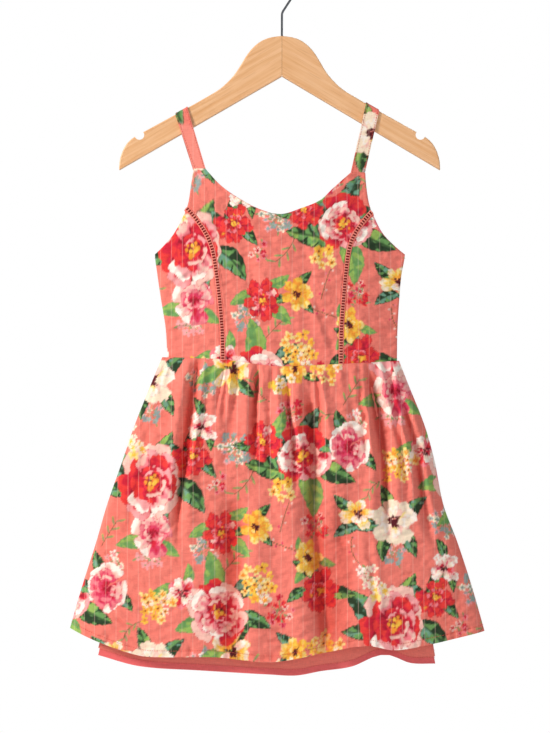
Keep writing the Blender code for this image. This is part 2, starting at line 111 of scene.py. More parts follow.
folds = {
    "front": columns(
        "top foot begin end width depth", (0.150, 0.263, 0, 0.66, 7, 6.5), (0.267, 0.275, 0, 0.24, 5, 4),
        (0.400, 0.460, 0, 0.42, 6, 5), (0.520, 0.600, 0.02, 0.5, 7, 6), (0.605, 0.618, 0.1, 1.1, 15, 7.5),
        (0.860, 0.800, 0.04, 0.66, 8, 6.5), (0.955, 0.930, 0.15, 0.68, 6, 4.5)),
    "back": columns(
        "top foot begin end width depth", (0.120, 0.080, 0, 0.58, 7, 5.5),
        (0.240, 0.225, 0.02, 0.92, 12, 6.5), (0.360, 0.345, 0, 0.38, 6, 4.5),
        (0.480, 0.500, 0, 1.1, 14, 7), (0.630, 0.655, 0, 0.46, 6.5, 5),
        (0.760, 0.800, 0.03, 0.8, 11, 6), (0.890, 0.930, 0, 0.5, 7, 5))}
armTop = columns(
    "x drop", (0, 73.4), (13, 75.2), (23.5, 79.5), (32, 86.5), (38.5, 94.5), (49.5, 112.5), (56, 121),
    (67.8, 132.3), (81.5, 141), (108, 156.2), (150, 179.5), (163.5, 187), (171, 193.5), (176, 202),
    (179.2, 212), (180, 220))
armReach = {"left": 182.6, "right": 177.4}
woodThickness = 12.0
strapCorner = 2.5
strapSpots = {
    "left": {"onArm": (-119.4, -105.8), "front": (-98.8, -86.1, 222.4), "back": (-77.4, -64.4, 294)},
    "right": {"onArm": (94.2, 108.8), "front": (77.1, 93.2, 226.9), "back": (63.5, 76.5, 294)}}


def smoothAt(keys, values, at):
    # Cubic through the points of a table, level with them at both ends.
    at = np.clip(np.asarray(at, float), keys[0], keys[-1])
    count = len(keys)
    low, high = np.maximum(np.arange(count) - 1, 0), np.minimum(np.arange(count) + 1, count - 1)
    slopes = (values[high] - values[low]) / (keys[high] - keys[low])
    row = np.clip(np.searchsorted(keys, at, "right") - 1, 0, count - 2)
    span = keys[row + 1] - keys[row]
    t = (at - keys[row]) / span
    start = (2 * t ** 3 - 3 * t ** 2 + 1) * values[row] + (t ** 3 - 2 * t ** 2 + t) * span * slopes[row]
    end = (3 * t ** 2 - 2 * t ** 3) * values[row + 1] + (t ** 3 - t ** 2) * span * slopes[row + 1]
    return start + end


def read(table, key, at, column):
    return smoothAt(table[key], table[column], at)


def mix(a, b, share):
    return a + (b - a) * share


def ease(share):
    share = np.clip(share, 0.0, 1.0)
    return share * share * (3 - 2 * share)


def curveThrough(points, count):
    # Evenly spaced points on a smooth curve through (x, drop) points.
    points = np.asarray(points, float)
    points = points[np.concatenate([[True], np.hypot(*np.diff(points, axis=0).T) > 1e-6])]
    lengths = np.concatenate([[0], np.cumsum(np.hypot(*np.diff(points, axis=0).T))])
    at = np.linspace(0, lengths[-1], count)
    return np.stack([smoothAt(lengths, points[:, 0], at), smoothAt(lengths, points[:, 1], at)], axis=1)


def noise(x, y, size, seed, tall=1.0):
    # Smooth lattice noise, about -1 to 1. tall stretches it downwards.
    table = np.random.RandomState(seed).rand(64, 64) * 2 - 1
    x, y = x / size + 100.3, y / (size * tall) + 100.7
    i, j = np.floor(x).astype(int), np.floor(y).astype(int)
    u, v = ease(x - i), ease(y - j)
    corner = lambda a, b: table[(j + b) % 64, (i + a) % 64]
    return mix(mix(corner(0, 0), corner(1, 0), u), mix(corner(0, 1), corner(1, 1), u), v)


# Bodice

waistLap = 0.3        # the bodice comes down to the skirt, so that no light shows through the seam


def evenCount(length, step=None):
    # Segments for a length, in whole steps of the coarse inner skin.
    inner = cloth["innerStep"]
    return max(int(round(length / (step or cloth["pitch"]) / inner)), 1) * inner


def princessEdge(side, shift, count):
    foot = princessLines["drop"][-1]
    foot = float(read(waistSeam, "x", read(princessLines, "drop", foot, side), "drop")) + waistLap
    drops = np.linspace(foot, princessLines["drop"][0], 90)
    xs = read(princessLines, "drop", drops, side)
    lean = read(princessLines, "drop", drops + 1, side) - read(princessLines, "drop", drops - 1, side)
    size = np.hypot(lean, 2.0)
    track = np.stack([xs + shift * 2.0 / size, drops - shift * lean / size], axis=1)
    track = track[np.abs(track[:, 0]) < np.abs(read(armholes, "drop", track[:, 1], side))]
    track[0, 1] = foot
    track[-1, 0] = read(armholes, "drop", track[-1, 1], side)
    return curveThrough(np.concatenate([track[::6], track[-1:]]), count)


def waistPoints(first, last, count, shift):
    x = np.linspace(first, last, count)
    return np.stack([x, read(waistSeam, "x", x, "drop") + shift], axis=1)


def armholePoints(side, first, last, count):
    drops = np.linspace(first, last, count)
    return np.stack([read(armholes, "drop", drops, side), drops], axis=1)


def sideSeamPoints(side, count):
    low = float(read(waistSeam, "x", bodiceSides[side][-1], "drop")) + waistLap
    drops = np.linspace(low, armholes["drop"][-1], count)
    return np.stack([read(bodiceSides, "drop", drops, side), drops], axis=1)


def patch(foot, head, left, right):
    # Coons patch between four edges: foot and head run left to right.
    u = np.linspace(0, 1, len(foot))[None, :, None]
    v = np.linspace(0, 1, len(left))[:, None, None]
    across = mix(left[:, None], right[:, None], u)
    upright = mix(foot[None], head[None], v)
    low, high = mix(foot[0], foot[-1], u), mix(head[0], head[-1], u)
    return across + upright - mix(low, high, v)


def bodiceY(face, x, drop):
    left, right = read(bodiceSides, "drop", drop, "left"), read(bodiceSides, "drop", drop, "right")
    share = np.minimum(np.abs(2 * x - left - right) / (right - left), 1.0)
    stand = cloth["bodiceDepth"][face] * (1 - share ** 2.5)
    return outward[face] * (cloth["seamGap"] / 2 + cloth["wall"] + stand)


def bodiceGrid(face, flat):
    x, drop = flat[..., 0], flat[..., 1]
    return np.stack([x, bodiceY(face, x, drop), -drop], axis=-1)


def joinRuns(*runs):
    return np.concatenate([runs[0]] + [run[1:] for run in runs[1:]])


def strapHead(side):
    first, last, drop = strapSpots[side]["front"]
    x = np.linspace(first, last, 9)
    return np.stack([x, np.full_like(x, drop)], axis=1)


def frontCentre():
    rows = evenCount(edgeLengths["princess"]) + 1
    shift = trims["width"] / 2 + cloth["seamGap"]
    left, right = princessEdge("left", shift, rows), princessEdge("right", -shift, rows)
    neckPoints = np.stack([neckline["x"], neckline["drop"]], axis=1)
    neck = curveThrough(neckPoints, evenCount(edgeLengths["neck"]) + 1)
    strapDrops = {side: spots["front"][2] for side, spots in strapSpots.items()}
    head = joinRuns(
        armholePoints("left", left[-1, 1], strapDrops["left"], 25), strapHead("left"), neck,
        strapHead("right"), armholePoints("right", strapDrops["right"], right[-1, 1], 25))
    foot = waistPoints(left[0, 0], right[0, 0], len(head), waistLap)
    return bodiceGrid("front", patch(foot, head, left, right))


def frontSide(side):
    rows, across = evenCount(edgeLengths["side"]) + 1, evenCount(edgeLengths["sideWaist"]) + 1
    towardsSeam = -1.0 if side == "left" else 1.0
    princess = princessEdge(side, towardsSeam * (trims["width"] / 2 + cloth["seamGap"]), rows)
    foot = waistPoints(bodiceSides[side][-1], princess[0, 0], across, waistLap)
    seam = sideSeamPoints(side, rows)
    head = armholePoints(side, armholes["drop"][-1], princess[-1, 1], across)
    if side == "left":
        return bodiceGrid("front", patch(foot, head, seam, princess))
    return bodiceGrid("front", patch(foot[::-1], head[::-1], princess, seam))


def bodiceBack():
    corners = np.stack([backTop["x"], backTop["drop"]], axis=1)
    runs = [np.linspace(a, b, evenCount(np.hypot(*(b - a)), 2.0) + 1) for a, b in zip(corners, corners[1:])]
    head = joinRuns(*runs)
    rows = evenCount(edgeLengths["backSide"], 1.6) + 1
    left, right = sideSeamPoints("left", rows), sideSeamPoints("right", rows)
    foot = waistPoints(left[0, 0], right[0, 0], len(head), waistLap)
    return bodiceGrid("back", patch(foot, head, left, right))


# Skirt and lining


def roundness(s, v):
    opened = ease(v / cloth["opening"])
    return (1 - np.abs(s) ** mix(2.5, 3.0, opened)) ** mix(1.0, 0.5, opened)


def foldDepth(table, s, v, width):
    total = 0.0
    for top, foot, begin, end, wide, deep in zip(*table.values()):
        away = ((s + 1) / 2 - mix(top, foot, v)) * width / wide
        shoulders = 0.50 * (np.exp(-(away - 1.7) ** 2) + np.exp(-(away + 1.7) ** 2))
        # A crease is a soft trough with a sharp foot.
        crease = 0.75 * np.exp(-(away * 1.1) ** 2) + 0.55 * np.exp(-(away * 3.4) ** 2)
        fade = ease((v - begin + 0.03) / 0.1) * ease((end - v) / 0.22)
        total = total + deep * fade * (shoulders - crease)
    return total * ease((1 - np.abs(s)) / 0.08)


def skirtGrid(face):
    # The rows run from the hem up, and the columns are even along the hem's section.
    s = np.linspace(-1, 1, 4001)
    depth = cloth["skirtHemDepth"][face]
    section = np.stack([s * hemHalf, depth * roundness(s, 1.0)], axis=1)
    lengths = np.concatenate([[0], np.cumsum(np.hypot(*np.diff(section, axis=0).T))])
    across = evenCount(lengths[-1])
    s = np.interp(np.linspace(0, lengths[-1], across + 1), lengths, s)[None, :]
    v = np.linspace(1, 0, evenCount(edgeLengths["skirt"], 1.5) + 1)[:, None]
    sides = []
    for end, side in ((0, "left"), (-1, "right")):
        sides.append(read(skirtSides, "drop", mix(waistSeam["drop"][end], skirtHem["drop"][end], v), side))
    left, right = sides
    share = (s + 1) / 2
    waistX = mix(waistSeam["x"][0], waistSeam["x"][-1], share)
    hemX = mix(skirtHem["x"][0], skirtHem["x"][-1], share)
    waistDrop = read(waistSeam, "x", waistX, "drop") + cloth["seamGap"] / 2
    drop = mix(waistDrop, read(skirtHem, "x", hemX, "drop"), v)
    depth = mix(cloth["bodiceDepth"][face], cloth["skirtHemDepth"][face], v)
    x = mix(left, right, share)
    relief = foldDepth(folds[face], s, v, right - left) + skirtRelief(face, x, s, v)
    relief = relief * mix(0.55, 1.0, ease(v / 0.05))
    stand = depth * roundness(s, v) + relief
    skin = cloth["wall"] * (1 - ease(v / cloth["opening"]))
    y = outward[face] * (cloth["seamGap"] / 2 + skin + np.maximum(stand, 0.0))
    # The second value, the depth of the fold troughs, sets the painted shade laid into the print.
    return np.stack(np.broadcast_arrays(x, y, -drop), axis=-1), np.clip(-relief / 6.0, 0, 1)


def liningGrid(face):
    v = np.linspace(1, 0, evenCount(edgeLengths["lining"], 3.0) + 1)[:, None]
    s = np.linspace(-1, 1, evenCount(edgeLengths["liningHem"], 2.6) + 1)[None, :]
    hip, hem = cloth["liningDepth"][face]
    atWaist = cloth["bodiceDepth"][face] - cloth["liningWall"] - cloth["seamGap"]
    depth = mix(atWaist, mix(hip, hem, v), ease(v / cloth["tuck"]))
    drop = mix(liningSides["drop"][0], liningSides["drop"][-1], v)
    share = (s + 1) / 2
    x = mix(read(liningSides, "drop", drop, "left"), read(liningSides, "drop", drop, "right"), share)
    waistX = mix(liningSides["left"][0], liningSides["right"][0], share)
    waistDrop = read(waistSeam, "x", waistX, "drop") + cloth["seamGap"] / 2
    hemX = mix(liningHem["x"][0], liningHem["x"][-1], share)
    hemDrop = read(liningHem, "x", hemX, "drop") - cloth["liningRise"][face]
    stand = depth * (1 - np.abs(s) ** 2.5)
    ripple = 0.5 * noise(x, 0 * v, 26, 5) * ease(v / 0.3) * (1 - s ** 4)
    low = mix(waistDrop, hemDrop, v)
    hidden = ease((setBack["above"] - low) / setBack["fade"])
    y = cloth["seamGap"] / 2 + cloth["liningWall"] + stand + ripple
    y = np.maximum(y - setBack["by"] * hidden, np.minimum(y, setBack["least"]))
    return np.stack(np.broadcast_arrays(x, outward[face] * y, -low), axis=-1)


# Straps


def strapGrid(side):
    spots = strapSpots[side]
    reach = woodThickness / 2 + cloth["seamGap"] + cloth["wall"]
    armDrops = [float(read(armTop, "x", abs(x) * 180 / armReach[side], "drop")) for x in spots["onArm"]]

    def onArm(face, turn):
        out = outward[face] * math.cos(turn)
        y = outward[face] * (reach - strapCorner) + strapCorner * out
        lift = strapCorner * math.sin(turn) - strapCorner + cloth["wall"] + cloth["seamGap"]
        return [(x, y, lift - drop) for x, drop in zip(spots["onArm"], armDrops)], (0, out, math.sin(turn))

    def seamEnd(face):
        left, right, drop = spots[face]
        ends = [(x, float(bodiceY(face, x, drop)), cloth["seamGap"] - drop) for x in (left, right)]
        return ends, (0, outward[face], 0)

    def leg(face):
        (low, lowOut), (high, _) = seamEnd(face), onArm(face, 0.0)
        long = evenCount(abs(low[0][2] - high[0][2]), 1.3)
        shares = [k / long for k in range(long)]
        return [(mix(np.array(low), np.array(high), t), lowOut) for t in shares]

    turns = np.linspace(0, math.pi / 2, 7)
    stations = leg("front") + [onArm("front", turn) for turn in turns]
    stations += [onArm("back", turn) for turn in turns[::-1]] + leg("back")[::-1]
    spare = (len(stations) - 1) % cloth["innerStep"]
    if spare:
        stations = stations[:-1 - spare] + stations[-1:]
    u = np.linspace(0, 1, 13)[:, None]
    grid = np.array([mix(np.array(ends[0])[None], np.array(ends[1])[None], u) for ends, _ in stations])
    return grid, np.array([out for _, out in stations])


# Shells


def gridNormals(grid):
    # Unit normals, for rows that run upwards and columns that run left to right from outside.
    across = np.empty_like(grid)
    across[:, 1:-1] = grid[:, 2:] - grid[:, :-2]
    across[:, 0], across[:, -1] = grid[:, 1] - grid[:, 0], grid[:, -1] - grid[:, -2]
    upright = np.empty_like(grid)
    upright[1:-1] = grid[2:] - grid[:-2]
    upright[0], upright[-1] = grid[1] - grid[0], grid[-1] - grid[-2]
    normals = np.cross(across, upright)
    return normals / np.maximum(np.linalg.norm(normals, axis=-1, keepdims=True), 1e-12)


def edgeAway(grid):
    # Distance of every point from the nearest edge, measured along its row and its column.
    across = np.linalg.norm(np.diff(grid, axis=1), axis=-1)
    across = np.concatenate([np.zeros((len(grid), 1)), np.cumsum(across, axis=1)], axis=1)
    upright = np.linalg.norm(np.diff(grid, axis=0), axis=-1)
    upright = np.concatenate([np.zeros((1, grid.shape[1])), np.cumsum(upright, axis=0)], axis=0)
    return {"left": across, "right": across[:, -1:] - across, "foot": upright, "head": upright[-1:] - upright}


def lowestRound(values, reach):
    # The least value within a number of steps of each point of a grid.
    for axis in (0, 1):
        size = values.shape[axis]
        padded = np.pad(values, [(reach, reach) if k == axis else (0, 0) for k in (0, 1)], mode="edge")
        values = np.minimum.reduce([padded.take(range(k, k + size), axis=axis) for k in range(2 * reach + 1)])
    return values


def addObject(name, data):
    made = bpy.data.objects.new(name, data)
    bpy.context.scene.collection.objects.link(made)
    return made


def shell(name, grid, wall, face, colours, uv, materialName, keepOff=True, normals=None):
    # A closed wall: a dense outer skin, a coarse inner skin one wall behind it, and a rim.
    step = cloth["innerStep"]
    rows, cols = grid.shape[:2]
    if (rows - 1) % step or (cols - 1) % step:
        raise ValueError(f"{name}: {rows} x {cols} points don't fit the inner skin")
    if normals is None:
        normals = gridNormals(grid) * (1.0 if face == "front" else -1.0)
    inner = (grid - normals * wall)[::step, ::step]
    if keepOff:
        # In the troughs of the fine skin the coarse one lies deeper, so that it hardly shows through.
        lowest = lowestRound(grid[..., 1] * outward[face], step)[::step, ::step] - cloth["clear"]
        behind = inner[..., 1] * outward[face]
        behind = np.maximum(np.minimum(behind, lowest), behind - cloth["deepest"])
        inner[..., 1] = outward[face] * np.maximum(behind, cloth["seamGap"] / 2)
    innerRows, innerCols = inner.shape[:2]
    points = np.concatenate([grid.reshape(-1, 3), inner.reshape(-1, 3)]) * mm
    outerIndex = np.arange(rows * cols).reshape(rows, cols)
    innerIndex = rows * cols + np.arange(innerRows * innerCols).reshape(innerRows, innerCols)

    def quads(index):
        corners = [index[:-1, :-1], index[:-1, 1:], index[1:, 1:], index[1:, :-1]]
        return np.stack(corners, axis=-1).reshape(-1, 4)

    faces = quads(outerIndex).tolist() + quads(innerIndex)[:, ::-1].tolist()
    around = [(outerIndex[0], innerIndex[0]), (outerIndex[:, -1], innerIndex[:, -1]),
              (outerIndex[-1, ::-1], innerIndex[-1, ::-1]), (outerIndex[::-1, 0], innerIndex[::-1, 0])]
    for fine, coarse in around:
        for k in range(len(coarse) - 1):
            run = fine[k * step:k * step + step + 1][::-1]
            faces.append([*run.tolist(), int(coarse[k]), int(coarse[k + 1])])
    if face == "back":
        faces = [loop[::-1] for loop in faces]
    mesh = bpy.data.meshes.new(name)
    mesh.from_pydata(points.tolist(), [], faces)
    colours = colours.reshape(rows, cols, 3)
    paleSide = mix(colours[::step, ::step], ink("wrongSide"), 0.6)
    every = np.concatenate([colours.reshape(-1, 3), paleSide.reshape(-1, 3)])
    attribute = mesh.attributes.new("print", "FLOAT_COLOR", "POINT")
    attribute.data.foreach_set("color", np.concatenate([every, np.ones((len(every), 1))], axis=1).ravel())
    uv = uv.reshape(rows, cols, 2)
    flat = np.concatenate([uv.reshape(-1, 2), uv[::step, ::step].reshape(-1, 2)]) * mm
    corner = np.empty(len(mesh.loops), int)
    mesh.loops.foreach_get("vertex_index", corner)
    mesh.uv_layers.new(name="cloth").data.foreach_set("uv", flat[corner].ravel())
    mesh.materials.append(materials[materialName])
    mesh.shade_smooth()
    made = addObject(name, mesh)
    mesh.validate()
    mesh.set_sharp_from_angle(angle=math.radians(60))
    return made


def halfArea(obj):
    return sum(face.area for face in obj.data.polygons) / 2


# The floral print: motifs brushed on the cloth from a repeat that is grown below.

inks = {
    "ground": "#F07E70", "darkGreen": "#263D24", "green": "#6C9E5A", "teal": "#70A288",
    "lightGreen": "#96B85C", "sage": "#8E9A66", "red": "#D2203A", "scarlet": "#EA3B38",
    "crimson": "#A5142C", "maroon": "#56101A", "pink": "#F2808A", "deepPink": "#DC3F62",
    "palePink": "#F8C3B6", "rosePink": "#F6A3A4", "cream": "#FBE6CB", "yellow": "#F8C347",
    "paleYellow": "#FBDD8C", "orange": "#F39A35", "greyBlue": "#93A6A4", "white": "#FDF1E6",
    "stem": "#7A6038",
    # The ink behind the bars is painted shade: the dark seen in the gaps between the ladder bars.
    "wrongSide": "#EE9C8C", "lining": "#F27F72", "liningHem": "#E9696A", "strap": "#F58E80",
    "shadeBehindBars": "#9C302B", "glue": "#8A5A30"}
inkEdge = 0.5        # softness of a painted edge


def hexColour(text):
    # An sRGB hex colour as linear values.
    channels = [int(text[k:k + 2], 16) / 255 for k in (1, 3, 5)]
    return [c / 12.92 if c <= 0.04045 else ((c + 0.055) / 1.055) ** 2.4 for c in channels]


def ink(name):
    return np.array(hexColour(inks[name]))


def smoothStep(low, high, values):
    return ease((values - low) / (high - low))


def waver(x, y, size, seed):
    # Smooth uneven field, about -1 to 1, with features of the given size.
    total = 0.0
    for turn in range(4):
        angle = seed * 1.37 + turn * 2.1
        pace = 2 * math.pi / (size * (0.75 + 0.35 * turn))
        total = total + np.sin((x * math.cos(angle) + y * math.sin(angle)) * pace + seed * (2.3 + turn))
    return total / 2.4


def bareSheet(x, drop):
    colour = np.tile(ink("ground"), (len(x), 1))
    return {"x": x, "drop": drop, "colour": colour}


def patchOf(sheet, x, drop, radius):
    # The part of the cloth that a motif can reach, with coordinates from its middle.
    near = np.nonzero((np.abs(sheet["x"] - x) < radius) & (np.abs(sheet["drop"] - drop) < radius))[0]
    return near, sheet["x"][near] - x, sheet["drop"][near] - drop


def daub(sheet, near, mask, colour):
    share = np.clip(mask, 0.0, 1.0)[:, None]
    sheet["colour"][near] = sheet["colour"][near] * (1 - share) + colour * share


def petal(sheet, near, dx, dy, base, turn, length, width, shades, seed, blunt=4.0, outline=None):
    # One brushed petal from its base outwards. shades run from the base to the tip.
    cosine, sine = math.cos(turn), math.sin(turn)
    px, py = dx - base[0], dy - base[1]
    along = (px * cosine + py * sine) / length
    across = (py * cosine - px * sine) / (width / 2)
    rough = waver(px, py, width * 0.42, seed)
    reach = np.clip(along / (1 + 0.07 * rough), 0.0, 1.0)
    half = 1.18 * reach ** 0.55 * (1 - reach ** blunt) ** 0.6
    inside = (half - np.abs(across) + 0.07 * rough) * width / 2
    inside = np.minimum(inside, np.minimum(1 - along, along) * length + 0.2)
    if outline is not None:
        daub(sheet, near, 0.8 * smoothStep(-0.9, -0.2, inside), outline)
    blend = along + 0.16 * rough + 0.10 * np.sin(across * 7 + seed)
    first, second, third = shades
    tone = first + (second - first) * smoothStep(0.30, 0.50, blend)[:, None]
    tone = tone + (third - tone) * smoothStep(0.60, 0.80, blend)[:, None]
    daub(sheet, near, smoothStep(-inkEdge, inkEdge, inside), tone)


def spot(sheet, near, dx, dy, x, y, radius, colour, strength=1.0):
    away = np.hypot(dx - x, dy - y)
    daub(sheet, near, strength * smoothStep(radius + inkEdge, radius - inkEdge, away), colour)


def stroke(sheet, near, dx, dy, start, end, width, colour):
    # A thin brush line between two points.
    runX, runY = end[0] - start[0], end[1] - start[1]
    share = np.clip(((dx - start[0]) * runX + (dy - start[1]) * runY) / (runX ** 2 + runY ** 2 + 1e-9), 0, 1)
    away = np.hypot(dx - start[0] - share * runX, dy - start[1] - share * runY)
    daub(sheet, near, smoothStep(width / 2 + inkEdge, width / 2 - inkEdge * 0.6, away), colour)


blooms = {
    "peony": {
        "rings": ((6, 0.30, 0.66, 0.86), (6, 0.24, 0.58, 0.66), (6, 0.16, 0.50, 0.54), (5, 0.08, 0.38, 0.42),
                  (4, 0.02, 0.24, 0.28)),
        "shades": (("deepPink", "palePink", "palePink"), ("red", "rosePink", "white"),
                   ("crimson", "pink", "palePink"), ("crimson", "red", "palePink"),
                   ("maroon", "crimson", "scarlet")),
        "bold": (("crimson", "red", "scarlet"), ("crimson", "red", "rosePink")), "boldShare": 0.36,
        "outline": "red", "heart": "orange", "blunt": 6.0, "dots": 10},
    "rose": {
        "rings": ((5, 0.26, 0.74, 0.96), (5, 0.16, 0.60, 0.70), (4, 0.06, 0.46, 0.52), (3, 0.0, 0.32, 0.36)),
        "shades": (("deepPink", "palePink", "white"), ("red", "rosePink", "palePink"),
                   ("crimson", "pink", "palePink"), ("crimson", "red", "deepPink")),
        "bold": (("red", "deepPink", "pink"),), "boldShare": 0.22,
        "outline": "deepPink", "heart": "crimson", "blunt": 8.0, "dots": 5},
    "red": {
        "rings": ((8, 0.20, 0.78, 0.62), (7, 0.12, 0.62, 0.50), (6, 0.04, 0.44, 0.38)),
        "shades": (("crimson", "red", "scarlet"), ("red", "scarlet", "scarlet"),
                   ("crimson", "scarlet", "pink")),
        "bold": (("scarlet", "pink", "palePink"), ("orange", "scarlet", "scarlet")), "boldShare": 0.22,
        "outline": "crimson", "heart": "orange", "blunt": 3.0, "dots": 7},
    "yellow": {
        "rings": ((7, 0.20, 0.80, 0.66), (6, 0.10, 0.62, 0.50), (4, 0.04, 0.40, 0.36)),
        "shades": (("orange", "yellow", "paleYellow"), ("orange", "yellow", "yellow"),
                   ("orange", "yellow", "paleYellow")),
        "bold": (("orange", "orange", "yellow"),), "boldShare": 0.25,
        "outline": "orange", "heart": "maroon", "blunt": 3.6, "dots": 20},
    "cream": {
        "rings": ((7, 0.20, 0.82, 0.74), (6, 0.14, 0.60, 0.54)),
        "shades": (("palePink", "cream", "cream"), ("cream", "white", "cream")),
        "bold": (("palePink", "palePink", "cream"), ("paleYellow", "cream", "white")), "boldShare": 0.4,
        "outline": "palePink", "heart": "maroon", "blunt": 6.0, "dots": 34},
    "blush": {
        "rings": ((7, 0.20, 0.80, 0.60), (6, 0.12, 0.60, 0.48)),
        "shades": (("deepPink", "palePink", "white"), ("red", "palePink", "white")),
        "bold": (("red", "scarlet", "pink"), ("palePink", "cream", "white")), "boldShare": 0.4,
        "outline": "pink", "heart": "maroon", "blunt": 4.0, "dots": 14},
    "sunny": {
        "rings": ((7, 0.22, 0.80, 0.54), (6, 0.12, 0.58, 0.44)),
        "shades": (("yellow", "paleYellow", "cream"), ("orange", "yellow", "paleYellow")),
        "bold": (("palePink", "cream", "white"),), "boldShare": 0.4,
        "outline": "yellow", "heart": "maroon", "blunt": 3.6, "dots": 18}}


def bloom(sheet, kind, x, drop, radius, seed, tall=1.0):
    make = blooms[kind]
    near, dx, dy = patchOf(sheet, x, drop, radius * 1.3 * max(tall, 1.0))
    if len(near) == 0:
        return
    dy = dy / tall
    rnd = random.Random(seed)
    # The heart sits a little off the middle.
    lean = (rnd.uniform(-0.14, 0.14) * radius, rnd.uniform(-0.14, 0.14) * radius)
    for ring, ((count, away, length, width), shades) in enumerate(zip(make["rings"], make["shades"])):
        start = rnd.uniform(0, math.tau)
        order = list(range(count))
        rnd.shuffle(order)
        for k in order:
            turn = start + math.tau * (k + rnd.uniform(-0.30, 0.30)) / count
            out = away * radius * rnd.uniform(0.8, 1.2)
            base = (lean[0] + out * math.cos(turn), lean[1] + out * math.sin(turn))
            grow = rnd.uniform(0.78, 1.12)
            chosen = [ink(name) for name in shades]
            if rnd.random() < make["boldShare"]:
                chosen = [ink(name) for name in rnd.choice(make["bold"])]
            petal(sheet, near, dx, dy, base, turn + rnd.uniform(-0.2, 0.2), length * radius * grow,
                  width * radius * rnd.uniform(0.85, 1.15), chosen, seed + k * 1.7 + ring, make["blunt"],
                  ink(make["outline"]))
    heart = ink(make["heart"])
    for k in range(make["dots"]):
        turn, away = rnd.uniform(0, math.tau), radius * rnd.uniform(0.02, 0.24)
        place = (lean[0] + away * math.cos(turn), lean[1] + away * math.sin(turn))
        if make["heart"] == "maroon" and k % 3 == 0:
            reach = (lean[0] + (place[0] - lean[0]) * 1.6, lean[1] + (place[1] - lean[1]) * 1.6)
            stroke(sheet, near, dx, dy, place, reach, 0.7, heart)
        spot(sheet, near, dx, dy, *place, radius * rnd.uniform(0.025, 0.055) + 0.35, heart)
    if kind in ("peony", "red"):
        for _ in range(5):
            turn = rnd.uniform(0, math.tau)
            spot(sheet, near, dx, dy, lean[0] + 0.10 * radius * math.cos(turn),
                 lean[1] + 0.08 * radius * math.sin(turn), radius * 0.05, ink("yellow"))


def floret(sheet, near, dx, dy, x, y, radius, light, dark, heart, seed):
    rnd = random.Random(seed)
    start = rnd.uniform(0, math.tau)
    for k in range(5):
        turn = start + math.tau * k / 5
        petal(sheet, near, dx, dy, (x, y), turn + rnd.uniform(-0.25, 0.25), radius * rnd.uniform(0.75, 1.15),
              radius * rnd.uniform(0.65, 0.95), (ink(dark), ink(light), ink(light)), seed + k, 3.0)
    spot(sheet, near, dx, dy, x, y, radius * 0.15, ink(heart))


clusters = {
    "gold": ("paleYellow yellow yellow paleYellow cream", "orange", "maroon", 6.4, 1.0),
    "straw": ("cream paleYellow yellow cream", "yellow", "stem", 6.6, 1.0),
    "mist": ("greyBlue palePink white greyBlue cream rosePink", "greyBlue", "sage", 4.6, 1.35),
    "coral": ("pink palePink deepPink red scarlet", "red", "crimson", 4.6, 1.45),
    "blossom": ("palePink cream white rosePink", "rosePink", "sage", 5.2, 1.3)}


def cluster(sheet, kind, x, drop, radius, seed):
    # Many small florets packed in a ragged round, with stems and leaflets where they are loose.
    lights, dark, heart, size, sparse = clusters[kind]
    near, dx, dy = patchOf(sheet, x, drop, radius * 1.35 + size)
    if len(near) == 0:
        return
    rnd = random.Random(seed)
    count = max(int((radius / size) ** 2 * 1.9 / sparse), 3)
    for k in range(count):
        away = radius * math.sqrt((k + 0.5) / count)
        turn = k * 2.4 + seed
        place = (away * math.cos(turn) + rnd.uniform(-2.4, 2.4),
                 away * math.sin(turn) + rnd.uniform(-2.4, 2.4))
        if sparse > 1.1:
            stroke(sheet, near, dx, dy, (place[0] * 0.25, place[1] * 0.25), place, 0.5, ink("sage"))
            if k % 2:
                angle = rnd.uniform(0, math.tau)
                petal(sheet, near, dx, dy, place, angle, size * 1.5, size * 0.7,
                      (ink("sage"), ink("sage"), ink("green" if k % 4 == 1 else "sage")), seed + k, 1.6)
        light = rnd.choice(lights.split())
        centre = heart if rnd.random() < 0.55 else dark
        floret(sheet, near, dx, dy, *place, size * rnd.uniform(0.7, 1.2), light, dark, centre, seed * 7 + k)


leafInks = {
    "dark": ("darkGreen", "green", "teal"), "moss": ("darkGreen", "green", "lightGreen"),
    "teal": ("darkGreen", "teal", "green"), "light": ("green", "lightGreen", "lightGreen"),
    "sage": ("sage", "sage", "lightGreen")}
leafShape = {"grow": 1.12, "width": 0.66}


